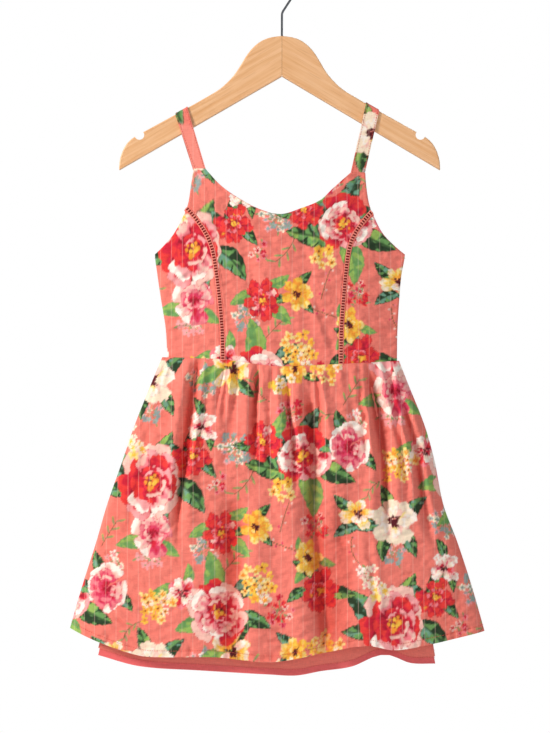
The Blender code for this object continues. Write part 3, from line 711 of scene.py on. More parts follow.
def leaf(sheet, kind, x, drop, length, degrees, seed):
    # A pointed leaf centred on its place. degrees is the way the tip points, clockwise from the right.
    length, width = length * leafShape["grow"], leafShape["width"]
    near, dx, dy = patchOf(sheet, x, drop, length * 0.64)
    if len(near) == 0:
        return
    turn = math.radians(degrees)
    dark, light, second = (ink(name) for name in leafInks[kind])
    cosine, sine = math.cos(turn), math.sin(turn)
    along = (dx * cosine + dy * sine) / length + 0.5
    bend = 0.10 * math.sin(seed * 2.7) * np.sin(along * 3)
    across = (dy * cosine - dx * sine) / (length * width / 2) + bend / width * 2
    rough = waver(dx, dy, length * 0.14, seed)
    broad = waver(dx, dy, length * 0.34, seed + 4)
    reach = np.clip(along, 0.0, 1.0)
    half = 1.30 * reach ** 0.62 * (1 - reach) ** 0.85 * (1.75 - 0.55 * reach)
    inside = (half - np.abs(across) + 0.04 * rough) * length * width / 2
    inside = np.minimum(inside, np.minimum(1 - along, along) * length + 0.2)
    daub(sheet, near, smoothStep(-inkEdge, inkEdge, inside), dark)
    share = np.abs(across) / (half + 0.05)
    veins = np.sin((along * 3.4 - np.abs(across) * 0.8) * math.tau + seed)
    sunny = math.copysign(1.0, math.sin(seed * 5.1))       # the half that catches the light
    side = smoothStep(-0.12, 0.10, across * sunny + 0.08 * rough)
    furrows = 0.5 * smoothStep(0.7, 1.0, veins)
    lit = smoothStep(-0.15, 0.15, 0.92 - share + 0.24 * broad + 0.20 * rough - furrows)
    shaded = smoothStep(0.0, 0.3, 0.34 * veins + 0.45 * broad + 0.15 * rough - 0.06)
    rim = smoothStep(0.3, 1.1, inside)
    daub(sheet, near, rim * mix(shaded, lit, side), light)
    daub(sheet, near, rim * side * lit * smoothStep(0.05, 0.35, broad - 0.3 * rough), second)
    rib = smoothStep(0.11, 0.04, np.abs(across)) * smoothStep(0.02, 0.2, along) * smoothStep(0.96, 0.8, along)
    daub(sheet, near, 0.7 * rib * (inside > 0), dark)


def sprig(sheet, kind, x, drop, length, degrees, seed):
    # A thin wandering stem with small leaves or buds on both sides.
    near, dx, dy = patchOf(sheet, x, drop, length * 1.15)
    if len(near) == 0:
        return
    rnd = random.Random(seed)
    turn = math.radians(degrees)
    place = (-math.cos(turn) * length / 2, -math.sin(turn) * length / 2)
    curl = rnd.uniform(-0.22, 0.22)
    for k in range(6):
        turn += curl
        step = length / 6
        after = (place[0] + math.cos(turn) * step, place[1] + math.sin(turn) * step)
        stroke(sheet, near, dx, dy, place, after, 0.55, ink("stem"))
        side = 1 if k % 2 else -1
        if kind == "bud":
            tip = (after[0] - math.sin(turn) * side * 3, after[1] + math.cos(turn) * side * 3)
            stroke(sheet, near, dx, dy, after, tip, 0.5, ink("stem"))
            spot(sheet, near, dx, dy, *tip, 1.3, ink(rnd.choice(["pink", "deepPink", "palePink"])))
        else:
            shades = [ink(name) for name in leafInks[kind]]
            petal(sheet, near, dx, dy, after, turn + side * 0.8, length * 0.30, length * 0.11,
                  shades, seed + k, 1.6)
        place = after


# One repeat of the printed cloth, in millimetres. Every other column of repeats starts half a repeat lower.
repeatPlan = {"across": 272.0, "down": 316.0, "seed": 8, "tries": 60, "overlap": 0.86, "sprigs": 9,
              "sprigRoom": 9.0, "reach": 60.0}
# form, kind, how many in a repeat, smallest and largest radius, and whether it nestles against another
growing = (
    ("bloom", "peony", 3, 34, 42, False), ("bloom", "cream", 1, 25, 29, False),
    ("bloom", "yellow", 3, 16, 22, False), ("bloom", "rose", 2, 21, 26, True),
    ("bloom", "red", 4, 15, 23, True), ("bloom", "sunny", 2, 19, 24, True),
    ("bloom", "blush", 2, 17, 23, True), ("cluster", "gold", 4, 12, 20, True),
    ("cluster", "straw", 2, 9, 13, True), ("cluster", "mist", 4, 13, 20, True),
    ("cluster", "coral", 4, 10, 17, False), ("cluster", "blossom", 3, 11, 15, True))
leafing = {"kinds": ("dark", "moss", "dark", "teal", "light"), "shortest": 22.0, "longest": 44.0,
           "from": 15.0}


def latticeSteps(columns, rows):
    return [(column * repeatPlan["across"], (row + 0.5 * (column % 2)) * repeatPlan["down"])
            for column in columns for row in rows]


def clearance(others, x, drop, radius):
    # Room between a new motif and its nearest neighbour, with the neighbours' repeats counted.
    room = 1e9
    for stepX, stepDrop in latticeSteps(range(-1, 2), range(-2, 3)):
        for other in others:
            away = math.hypot(other["x"] + stepX - x, other["drop"] + stepDrop - drop)
            room = min(room, away - other["radius"] - radius)
    return room


def settle(rnd, placed, radius, nestles):
    # Of many tries, the roomiest place: free on the cloth, or against a motif that is already there.
    best = (-1e9, 0.0, 0.0)
    for _ in range(repeatPlan["tries"]):
        others = placed
        x, drop = rnd.uniform(0, repeatPlan["across"]), rnd.uniform(0, repeatPlan["down"])
        if nestles:
            host = rnd.choice(placed)
            turn = rnd.uniform(0, math.tau)
            gap = (host["radius"] + radius) * repeatPlan["overlap"]
            x, drop = host["x"] + gap * math.cos(turn), host["drop"] + gap * math.sin(turn)
            others = [other for other in placed if other is not host]
        best = max(best, (clearance(others, x, drop, radius), x, drop))
    return best[1], best[2]


def leavesRound(rnd, flower):
    # Leaves that reach out from under a flower.
    count = 3 if flower["radius"] < 25 else 5
    start = rnd.uniform(0, 360)
    rows = []
    for k in range(count):
        degrees = start + 360 * k / count + rnd.uniform(-28, 28)
        length = min(max(flower["radius"] * 1.25, leafing["shortest"]), leafing["longest"])
        length *= rnd.uniform(0.8, 1.1)
        away = flower["radius"] * 0.74 + length * 0.34
        x = flower["x"] + away * math.cos(math.radians(degrees))
        drop = flower["drop"] + away * math.sin(math.radians(degrees))
        rows.append(("leaf", rnd.choice(leafing["kinds"]), x, drop, length, degrees + rnd.uniform(-30, 30)))
    return rows


def growRepeat():
    rnd = random.Random(repeatPlan["seed"])
    placed, flowers, sprays, heads, leaves = [], [], [], [], []
    for form, kind, count, small, large, nestles in growing:
        for _ in range(count):
            radius = rnd.uniform(small, large)
            x, drop = settle(rnd, placed, radius, nestles)
            placed.append({"x": x, "drop": drop, "radius": radius})
            row = (form, kind, x, drop, radius, rnd.uniform(0.92, 1.22))
            if form == "bloom":
                flowers.append(row)
                if radius > leafing["from"]:
                    leaves += leavesRound(rnd, placed[-1])
            elif kind in ("gold", "straw"):
                heads.append(row)
            else:
                sprays.append(row)
    stems = []
    for number in range(repeatPlan["sprigs"]):
        x, drop = settle(rnd, placed, repeatPlan["sprigRoom"], False)
        placed.append({"x": x, "drop": drop, "radius": repeatPlan["sprigRoom"]})
        kind = "bud" if number % 3 == 0 else "sage"
        stems.append(("sprig", kind, x, drop, rnd.uniform(26, 38), rnd.uniform(0, 360)))
    return stems + sprays + leaves + flowers[::-1] + heads


motifs = growRepeat()
print("print repeat", len(motifs), "motifs")


def paint(sheet):
    # Lays the repeat over the whole piece, the lowest motifs first.
    reach = repeatPlan["reach"]
    for number, (form, kind, x, drop, size, more) in enumerate(motifs):
        seed = number * 3 + 11
        columns = range(math.floor((sheet["x"].min() - reach - x) / repeatPlan["across"]),
                        math.ceil((sheet["x"].max() + reach - x) / repeatPlan["across"]) + 1)
        rows = range(math.floor((sheet["drop"].min() - reach - drop) / repeatPlan["down"]) - 1,
                     math.ceil((sheet["drop"].max() + reach - drop) / repeatPlan["down"]) + 1)
        for stepX, stepDrop in latticeSteps(columns, rows):
            place = (x + stepX, drop + stepDrop)
            if form == "bloom":
                bloom(sheet, kind, *place, size, seed, more)
            elif form == "cluster":
                cluster(sheet, kind, *place, size, seed)
            elif form == "sprig":
                sprig(sheet, kind, *place, size, more, seed)
            else:
                leaf(sheet, kind, *place, size, more, seed)
    return sheet["colour"]


# Creases: from x, drop to x, drop, then half width and depth.
skirtCreases = {
    "front": (
        (-55, 590, -55, 762, 15, 3.9), (66, 600, 68, 764, 16, 4.0), (-92, 443, -112, 588, 3.4, 2.6),
        (-60, 443, -66, 504, 3.0, 2.4), (-27, 443, -33, 520, 3.0, 2.4), (5, 476, 16, 542, 3.2, 2.3),
        (40, 446, 46, 520, 3.0, 2.2), (84, 446, 96, 540, 3.2, 2.2), (118, 446, 136, 560, 3.2, 2.2),
        (-150, 520, -172, 640, 5, 0.9), (-118, 620, -150, 650, 3, 0.7), (-60, 640, -30, 700, 4, 0.8),
        (-200, 700, -160, 712, 2.6, 0.6), (-70, 730, -40, 742, 2.4, 0.7), (-52, 700, -28, 694, 2.2, 0.5),
        (60, 590, 70, 660, 5, 0.9), (108, 728, 146, 731, 2.2, 0.7), (106, 738, 140, 742, 2.2, 0.6),
        (112, 720, 138, 716, 2.2, 0.6), (98, 640, 104, 740, 4, 1.3), (60, 640, 92, 650, 2.6, 0.6),
        (150, 560, 168, 650, 4, 1.1), (196, 640, 210, 700, 3, 1.0), (-16, 480, -10, 600, 4, 0.8),
        (-196, 672, -150, 660, 2.6, 0.5), (-130, 660, -96, 668, 2.4, 0.5), (130, 500, 142, 600, 3.4, 1.0),
        (-30, 620, -66, 632, 2.6, 0.5), (20, 726, 52, 722, 2.4, 0.6), (-100, 640, -60, 655, 2.2, 0.5),
        (-140, 470, -160, 530, 3, 0.8), (100, 470, 112, 540, 3, 0.8), (-190, 735, -150, 746, 2.2, 0.5)),
    "back": (
        (-88, 600, -96, 764, 15, 3.2), (34, 604, 42, 764, 16, 3.6), (-100, 444, -122, 580, 3.4, 2.4),
        (-46, 444, -54, 528, 3.0, 2.3), (-8, 446, -10, 500, 3.0, 2.2), (28, 444, 36, 556, 3.2, 2.3),
        (72, 446, 84, 520, 3.0, 2.2), (110, 446, 130, 570, 3.2, 2.2),
        (-150, 540, -170, 660, 5, 1.0), (-60, 620, -40, 710, 4, 0.9), (40, 560, 56, 660, 4, 0.8),
        (110, 600, 126, 720, 5, 1.1), (-190, 690, -150, 700, 2.6, 0.6), (30, 730, 70, 735, 2.4, 0.6),
        (150, 700, 186, 706, 2.4, 0.6), (-110, 735, -80, 740, 2.2, 0.5))}
bodiceCreases = {
    "front": (
        (-60, 420, 60, 424, 5, 0.7), (-44, 292, -20, 420, 8, 0.5), (24, 292, 30, 400, 7, 0.6),
        (-56, 372, -20, 378, 2.4, 0.35), (10, 350, 52, 344, 2.4, 0.35), (-130, 352, -96, 340, 3.4, 0.6),
        (96, 352, 128, 342, 3.4, 0.6), (-128, 404, -84, 396, 2.6, 0.45), (82, 398, 124, 408, 2.6, 0.45),
        (-84, 262, -64, 300, 4, 0.5), (66, 262, 56, 296, 4, 0.5), (60, 430, 34, 360, 4, 0.5),
        (-40, 400, 30, 394, 2.2, 0.3), (-20, 310, 20, 306, 2.2, 0.3)),
    "back": (
        (-100, 330, -60, 420, 6, 0.7), (90, 330, 70, 420, 6, 0.7), (-30, 390, 40, 396, 3, 0.5),
        (-60, 360, 10, 352, 2.6, 0.4), (20, 330, 60, 340, 2.6, 0.4))}


def creaseDepth(table, x, drop):
    total = 0.0
    for x1, drop1, x2, drop2, wide, deep in table:
        runX, runDrop = x2 - x1, drop2 - drop1
        long = math.hypot(runX, runDrop)
        along = ((x - x1) * runX + (drop - drop1) * runDrop) / long ** 2
        away = ((x - x1) * runDrop - (drop - drop1) * runX) / long
        away = away + 2.0 * noise(x, drop, 16, int(wide * 10))
        fade = ease((along + 0.15) / 0.35) * ease((1.15 - along) / 0.35)
        section = np.exp(-(away / wide) ** 2) - 0.55 * np.exp(-((away - 1.7 * wide) / wide) ** 2)
        total = total + deep * fade * section
    return total


def crinkle(x, drop, seed):
    # The fine crushed look of washed cotton: short creases that lie mostly across.
    wide = noise(x, drop, 10, seed, 0.4) * 0.30 + noise(x, drop, 5, seed + 1, 0.6) * 0.16
    return wide + noise(x, drop, 3.2, seed + 2, 1.3) * 0.07


gathers = {"fine": 4.6, "broad": 9.5, "fineDepth": 2.7, "broadDepth": 3.8, "puff": 1.6}
# How far in the stitching lies on each hem, and the lining hem's darker band.
hems = {"turn": 7.2, "groove": 0.45, "pucker": 0.9, "backNeck": 4.0, "lining": 7.0, "band": (8.2, 7.4)}


def skirtRelief(face, x, s, v):
    drop = skirtTop + skirtLong * v
    seed = 31 if face == "front" else 57
    spread = x / mix(1.0, 1.72, v)      # gathers fan out with the cloth
    fine = noise(spread, 0 * v, gathers["fine"], seed) * gathers["fineDepth"] * (1 - ease(v / 0.13))
    broad = noise(spread, 6 * v, gathers["broad"], seed + 1) * gathers["broadDepth"]
    broad = broad * (1 - ease((v - 0.1) / 0.36))
    start = mix(0.35, 1.0, ease(v / 0.03))
    puff = gathers["puff"] * ease(v / 0.025) * (1 - ease((v - 0.03) / 0.2))
    soft = noise(spread, drop * 0.16, 30, seed + 2) * 1.5 * ease((v - 0.15) / 0.3)
    away = (1 - v) * skirtLong
    groove = hems["groove"] * np.exp(-((away - hems["turn"]) / 1.1) ** 2)
    pucker = noise(x + 0 * v, away * 0.2, 4.6, seed + 4) * hems["pucker"] * np.exp(-((away - 4.5) / 5.5) ** 2)
    ends = ease((1 - np.abs(s)) / 0.05)
    relief = (fine + broad) * start + puff + soft + crinkle(x, drop + 0 * x, seed + 5) * 3.0
    return (relief - creaseDepth(skirtCreases[face], x, drop) * 1.6 + pucker - groove) * ends


def bodiceRelief(grid, face, seed):
    x, drop = grid[..., 0], -grid[..., 2]
    relief = crinkle(x, drop, seed) * 2.8 + noise(x, drop, 34, seed + 7, 1.4) * 0.9
    relief = relief - creaseDepth(bodiceCreases[face], x, drop) * 2.2
    away = edgeAway(grid)
    for distance in away.values():
        # The turned seam allowance makes a low ridge, and its edge goes under.
        relief = relief * mix(0.25, 1.0, ease(distance / 6.0))
        ridge = 0.25 * ease(distance / 0.9) * (1 - ease((distance - 3.0) / 2.2))
        relief = relief + ridge - 0.25 * (1 - ease(distance / 1.0))
    moved = grid.copy()
    moved[..., 1] += outward[face] * relief
    return moved


def arcAcross(grid, face):
    # Sideways place on the cloth: the distance round the section, without the folds.
    x, drop = grid[..., 0], -grid[..., 2]
    centre = (x[:, :1] + x[:, -1:]) / 2
    half = (x[:, -1:] - x[:, :1]) / 2
    s = (x - centre) / half
    v = np.clip((drop - skirtTop) / skirtLong, 0, 1)
    depth = mix(cloth["bodiceDepth"][face], cloth["skirtHemDepth"][face], v) * roundness(np.clip(s, -1, 1), v)
    steps = np.hypot(np.diff(x, axis=1), np.diff(depth, axis=1))
    length = np.concatenate([np.zeros((len(x), 1)), np.cumsum(steps, axis=1)], axis=1)
    middle = x.shape[1] // 2
    return length - length[:, middle:middle + 1] + x[:, middle:middle + 1]


# Where each piece was cut from the printed length, sideways and down.
cuts = {"bodiceFront": (18, 40), "bodiceBack": (112, 150), "skirtFront": (64, 96), "skirtBack": (170, 10),
        "straps": (88, 214)}


def printOn(across, drop, cut):
    sheet = bareSheet(across.ravel() + cuts[cut][0], drop.ravel() + cuts[cut][1])
    return paint(sheet).reshape(*across.shape, 3)


# Materials


def setInputs(tree, node, inputs):
    # Each input is a value to set, or a socket to link.
    for key, value in inputs.items():
        if isinstance(value, bpy.types.NodeSocket):
            tree.links.new(value, node.inputs[key])
        else:
            node.inputs[key].default_value = value


def addNode(tree, kind, settings=None, inputs=None):
    node = tree.nodes.new(kind)
    for name, value in (settings or {}).items():
        setattr(node, name, value)
    setInputs(tree, node, inputs or {})
    return node


def newMaterial(name):
    material = bpy.data.materials.new(name)
    material.use_nodes = True
    tree = material.node_tree
    return material, tree, tree.nodes["Principled BSDF"]


def rgba(name):
    return (*(ink(name) if name in inks else hexColour(name)), 1.0)


cottons = {
    # Cotton lawn, printed: matt, a little fuzzy, with pale satin stripes woven in.
    "printedCottonLawn": {"stripe": 0.17, "rough": 0.86, "sheen": 0.12, "weave": 0.20, "crinkle": 0.5},
    # Plain cotton voile, the lining: thinner and duller.
    "plainCottonVoile": {"stripe": 0.0, "rough": 0.9, "sheen": 0.08, "weave": 0.16, "crinkle": 0.35}}
stripePitch, stripeWidth = 12.3 * mm, 0.85 * mm
threadPitch = 0.9 * mm        # lawn has 3 threads to the millimetre, drawn coarser so that they show
crinkleSize = 7.0 * mm


def cottonMaterial(name):
    look = cottons[name]
    material, tree, shader = newMaterial(name)
    uv = addNode(tree, "ShaderNodeUVMap", {"uv_map": "cloth"}).outputs[0]
    paintedOn = addNode(tree, "ShaderNodeAttribute", {"attribute_name": "print"}).outputs["Color"]
    parts = addNode(tree, "ShaderNodeSeparateXYZ", None, {0: uv})
    warp = addNode(tree, "ShaderNodeMapping", None,
                   {0: uv, "Scale": (1 / threadPitch, 0.12 / threadPitch, 1)})
    weft = addNode(tree, "ShaderNodeMapping", None,
                   {0: uv, "Scale": (0.12 / threadPitch, 1 / threadPitch, 1)})
    warpSlub = addNode(tree, "ShaderNodeTexNoise", None,
                       {"Vector": warp.outputs[0], "Scale": 1.0, "Detail": 2.0})
    weftSlub = addNode(tree, "ShaderNodeTexNoise", None,
                       {"Vector": weft.outputs[0], "Scale": 1.0, "Detail": 2.0})
    threads = addNode(tree, "ShaderNodeMath", {"operation": "ADD"},
                      {0: warpSlub.outputs[0], 1: weftSlub.outputs[0]})
    lightness = addNode(tree, "ShaderNodeMapRange", None,
                        {"Value": threads.outputs[0], "From Min": 0.6, "From Max": 1.4, "To Min": 0.90,
                         "To Max": 1.10})
    colour = paintedOn
    if look["stripe"]:
        drift = addNode(tree, "ShaderNodeTexNoise", None, {"Vector": uv, "Scale": 18.0, "Detail": 1.0})
        turns = addNode(tree, "ShaderNodeMath", {"operation": "DIVIDE"},
                        {0: parts.outputs[0], 1: stripePitch})
        wander = addNode(tree, "ShaderNodeMath", {"operation": "MULTIPLY_ADD"},
                         {0: drift.outputs[0], 1: 0.16, 2: turns.outputs[0]})
        within = addNode(tree, "ShaderNodeMath", {"operation": "PINGPONG"}, {0: wander.outputs[0], 1: 0.5})
        line = addNode(tree, "ShaderNodeMapRange", {"interpolation_type": "SMOOTHSTEP"},
                       {"Value": within.outputs[0], "From Min": 0.2 * stripeWidth / stripePitch,
                        "From Max": 0.9 * stripeWidth / stripePitch, "To Min": look["stripe"], "To Max": 0.0})
        worn = addNode(tree, "ShaderNodeMath", {"operation": "MULTIPLY"},
                       {0: line.outputs[0], 1: lightness.outputs[0]})
        striped = addNode(tree, "ShaderNodeMix", {"data_type": "RGBA"},
                          {0: worn.outputs[0], 6: colour, 7: rgba("#FFD9CC")})
        colour = striped.outputs[2]
    toned = addNode(tree, "ShaderNodeVectorMath", {"operation": "SCALE"},
                    {0: colour, "Scale": lightness.outputs[0]})
    crush = addNode(tree, "ShaderNodeMapping", None,
                    {0: uv, "Scale": (0.45 / crinkleSize, 1 / crinkleSize, 1)})
    crushed = addNode(tree, "ShaderNodeTexNoise", None,
                      {"Vector": crush.outputs[0], "Scale": 1.0, "Detail": 4.0, "Distortion": 0.6})
    lift = addNode(tree, "ShaderNodeMath", {"operation": "MULTIPLY"},
                   {0: crushed.outputs[0], 1: look["crinkle"] * 4})
    height = addNode(tree, "ShaderNodeMath", {"operation": "MULTIPLY_ADD"},
                     {0: threads.outputs[0], 1: look["weave"], 2: lift.outputs[0]})
    bump = addNode(tree, "ShaderNodeBump", None,
                   {"Strength": 1.0, "Distance": 0.6 * mm, "Height": height.outputs[0]})
    setInputs(tree, shader, {
        "Base Color": toned.outputs[0], "Normal": bump.outputs[0], "Roughness": look["rough"],
        "Sheen Weight": look["sheen"], "Specular IOR Level": 0.25})
    return material


def threadMaterial(name, colour, ply):
    # Spun cotton thread: matt, with a fine twist.
    material, tree, shader = newMaterial(name)
    place = addNode(tree, "ShaderNodeTexCoord").outputs["Object"]
    twist = addNode(tree, "ShaderNodeTexWave", {"bands_direction": "DIAGONAL"},
                    {"Vector": place, "Scale": 1 / ply, "Distortion": 2.0, "Detail": 1.0})
    light, dark = rgba(colour), (*(value * 0.8 for value in hexColour(colour)), 1.0)
    toned = addNode(tree, "ShaderNodeMix", {"data_type": "RGBA"}, {0: twist.outputs[1], 6: dark, 7: light})
    bump = addNode(tree, "ShaderNodeBump", None,
                   {"Strength": 0.5, "Distance": 0.2 * mm, "Height": twist.outputs[1]})
    setInputs(tree, shader, {
        "Base Color": toned.outputs[2], "Normal": bump.outputs[0], "Roughness": 0.8})
    return material


wood = {"light": "#F1BF8F", "dark": "#E2A870", "line": "#B97A3E", "slope": 30.0, "grain": 3.2, "rough": 0.42}


def mapleMaterial():
    # Maple under clear varnish: pale honey, fine long grain along each arm, a soft shine.
    material, tree, shader = newMaterial("varnishedMaple")
    place = addNode(tree, "ShaderNodeTexCoord").outputs["Object"]
    parts = addNode(tree, "ShaderNodeSeparateXYZ", None, {0: place})
    outwardX = addNode(tree, "ShaderNodeMath", {"operation": "ABSOLUTE"}, {0: parts.outputs[0]})
    side = addNode(tree, "ShaderNodeMath", {"operation": "SIGN"}, {0: parts.outputs[0]})
    folded = addNode(tree, "ShaderNodeCombineXYZ", None,
                     {0: outwardX.outputs[0], 1: parts.outputs[1], 2: parts.outputs[2]})
    turned = addNode(tree, "ShaderNodeVectorRotate", {"rotation_type": "Y_AXIS"},
                     {0: folded.outputs[0], "Angle": -math.radians(wood["slope"])})
    fine = 1 / (wood["grain"] * mm)
    long = addNode(tree, "ShaderNodeMapping", None,
                   {0: turned.outputs[0], "Scale": (fine * 0.045, fine * 0.6, fine)})
    streaks = addNode(tree, "ShaderNodeTexNoise", {"noise_dimensions": "4D"},
                      {"Vector": long.outputs[0], "W": side.outputs[0], "Scale": 1.0, "Detail": 5.0,
                       "Distortion": 0.3})
    grain = addNode(tree, "ShaderNodeMapRange", None,
                    {"Value": streaks.outputs[0], "From Min": 0.35, "From Max": 0.68})
    tone = addNode(tree, "ShaderNodeMix", {"data_type": "RGBA"},
                   {0: grain.outputs[0], 6: rgba(wood["light"]), 7: rgba(wood["dark"])})
    pores = addNode(tree, "ShaderNodeMapping", None,
                    {0: turned.outputs[0], "Scale": (fine * 0.12, fine * 2, fine * 3.2)})
    dashes = addNode(tree, "ShaderNodeTexNoise", None,
                     {"Vector": pores.outputs[0], "Scale": 1.0, "Detail": 2.0})
    thin = addNode(tree, "ShaderNodeMapRange", None,
                   {"Value": dashes.outputs[0], "From Min": 0.60, "From Max": 0.72, "To Min": 0.0,
                    "To Max": 0.36})
    final = addNode(tree, "ShaderNodeMix", {"data_type": "RGBA"},
                    {0: thin.outputs[0], 6: tone.outputs[2], 7: rgba(wood["line"])})
    bump = addNode(tree, "ShaderNodeBump", None,
                   {"Strength": 0.15, "Distance": 0.1 * mm, "Height": dashes.outputs[0]})
    setInputs(tree, shader, {
        "Base Color": final.outputs[2], "Normal": bump.outputs[0], "Roughness": wood["rough"],
        "Coat Weight": 0.25, "Coat Roughness": 0.3})
    return material


def glueMaterial():
    # Dried wood glue in the mitre: a thin brown line, slightly mottled and half matt.
    material, tree, shader = newMaterial("driedWoodGlue")
    place = addNode(tree, "ShaderNodeTexCoord").outputs["Object"]
    mottle = addNode(tree, "ShaderNodeTexNoise", None, {"Vector": place, "Scale": 500.0, "Detail": 2.0})
    brown = addNode(tree, "ShaderNodeMix", {"data_type": "RGBA"},
                    {0: mottle.outputs[0], 6: rgba("glue"), 7: rgba("#A87240")})
    setInputs(tree, shader, {
        "Base Color": brown.outputs[2], "Roughness": 0.5})
    return material


def steelMaterial():
    # Bright-drawn steel wire, plated: grey, smooth, with faint drawing lines along it.
    material, tree, shader = newMaterial("platedSteelWire")
    place = addNode(tree, "ShaderNodeTexCoord").outputs["Object"]
    lines = addNode(tree, "ShaderNodeTexNoise", None, {"Vector": place, "Scale": 900.0, "Detail": 2.0})
    grey = addNode(tree, "ShaderNodeMix", {"data_type": "RGBA"},
                   {0: lines.outputs[0], 6: rgba("#3E4044"), 7: rgba("#74777C")})
    rough = addNode(tree, "ShaderNodeMapRange", None,
                    {"Value": lines.outputs[0], "To Min": 0.22, "To Max": 0.42})
    setInputs(tree, shader, {
        "Base Color": grey.outputs[2], "Roughness": rough.outputs[0], "Metallic": 1.0})
    return material


materials = {
    "printedCottonLawn": cottonMaterial("printedCottonLawn"),
    "plainCottonVoile": cottonMaterial("plainCottonVoile"),
    "spunCottonThread": threadMaterial("spunCottonThread", "#E2604F", 0.9 * mm),
    # The lace bars are a lighter coral than the cloth, a painted highlight against the shade on their round
    # sides.
    "spunCottonLace": threadMaterial("spunCottonLace", "#FF9C8C", 1.2 * mm),
    "varnishedMaple": mapleMaterial(),
    "driedWoodGlue": glueMaterial(),
    "platedSteelWire": steelMaterial()}
print("materials ready")


# Making the pieces

pieces = {}
lines = []          # polylines that carry a row of stitches


def rowAt(grid, distance, edge, lift, face):
    # A line on the outer skin at a distance in from one edge, lifted clear of the cloth.
    away = edgeAway(grid)[edge]
    points = []
    if edge in ("foot", "head"):
        for i in range(0, grid.shape[1], 2):
            order = np.argsort(away[:, i])
            points.append([np.interp(distance, away[order, i], grid[order, i, k]) for k in range(3)])
    else:
        for j in range(0, grid.shape[0], 2):
            order = np.argsort(away[j])
            points.append([np.interp(distance, away[j][order], grid[j, order, k]) for k in range(3)])
    points = np.array(points)
    points[:, 1] += outward[face] * lift
    return points


def clothPiece(name, node, grid, face, cut, slot, flat, held, share=None, wall=None,
               material="printedCottonLawn", across=None, normals=None, keepOff=True):
    across = grid[..., 0] if across is None else across
    colours = cut if isinstance(cut, np.ndarray) else printOn(across, -grid[..., 2], cut)
    uv = np.stack([across, -grid[..., 2]], axis=-1)
    made = shell(name, grid, wall or cloth["shownWall"], face, colours, uv, material, keepOff, normals)
    pieces[name] = {"object": made, "node": node, "slot": slot, "flat": flat, "held": held, "share": share}
    print(name, len(made.data.polygons), "faces, half area", round(halfArea(made), 5))
    return made


bareStrap = (170, 176)       # drops between which the left strap's print gives way to bare ground
paintedFoldShade = np.array((0.78, 0.46, 0.42))      # painted shade: cloth in a fold faces itself, so its colour is darkened to a deeper red there

grid = bodiceRelief(frontCentre(), "front", 11)
clothPiece("bodiceFrontCentre", "bodice_front_centre", grid, "front", "bodiceFront", "printed_cotton",
           (0.172, 0.222), "hung", 0.78)
for side in ("left", "right"):
    grid = bodiceRelief(frontSide(side), "front", 13)
    clothPiece("bodiceFrontSide_" + side, "bodice_front_side_" + side, grid, "front", "bodiceFront",
               "printed_cotton", (0.078, 0.172), "hung", 0.6)
grid = bodiceRelief(bodiceBack(), "back", 17)
lines.append(rowAt(grid, hems["backNeck"], "head", 0.25, "back"))
clothPiece("bodiceBack", "bodice_back", grid, "back", "bodiceBack", "printed_cotton", (0.292, 0.152),
           "hung", 0.88)
for face in ("front", "back"):
    grid, foldShadeShare = skirtGrid(face)
    lines.append(rowAt(grid, hems["turn"], "foot", 0.2, face))
    across = arcAcross(grid, face)
    colours = printOn(across, -grid[..., 2], "skirt" + face.capitalize())
    # Painted shade: the print is darkened and deepened in the fold troughs and along the creases.
    creaseShadeShare = np.clip(creaseDepth(skirtCreases[face], grid[..., 0], -grid[..., 2]) / 3.5, 0, 1) * 0.55
    colours = colours * mix(np.ones(3), paintedFoldShade, np.maximum(foldShadeShare, creaseShadeShare)[..., None])
    clothPiece("skirt_" + face + "_panel", "skirt_" + face, grid, face, colours, "printed_cotton",
               (0.49, 0.345), "gathered", 0.8, across=across)
for face in ("front", "back"):
    grid = liningGrid(face)
    away = edgeAway(grid)["foot"]
    band = smoothStep(*hems["band"], away)[..., None]
    colours = mix(ink("lining"), ink("liningHem"), band)
    lines.append(rowAt(grid, hems["lining"], "foot", 0.15, face))
    clothPiece("lining_" + face + "_panel", "lining_" + face, grid, face, colours, "plain_cotton",
               (0.385, 0.352), "hung", 0.82, wall=cloth["shownLining"], material="plainCottonVoile")
for side in ("left", "right"):
    grid, outs = strapGrid(side)
    normals = np.broadcast_to(outs[:, None], grid.shape)
    colours = printOn(grid[..., 0], -grid[..., 2], "straps")
    if side == "left":
        bare = smoothStep(*bareStrap, -grid[..., 2])[..., None]
        colours = mix(colours, ink("strap"), bare)
    for edge, sign in (("left", 1), ("right", -1)):
        inset = grid[:, 1 if sign > 0 else -2] * 0.9 + grid[:, 2 if sign > 0 else -3] * 0.1
        lines.append(inset + outs * 0.2)
    clothPiece("strapBand_" + side, "strap_" + side, grid, "front", colours, "printed_cotton", (0.014, 0.29),
               "hung", wall=cloth["strapWall"], normals=normals, keepOff=False)


# Ladder trims: two corded edges with bars between them.

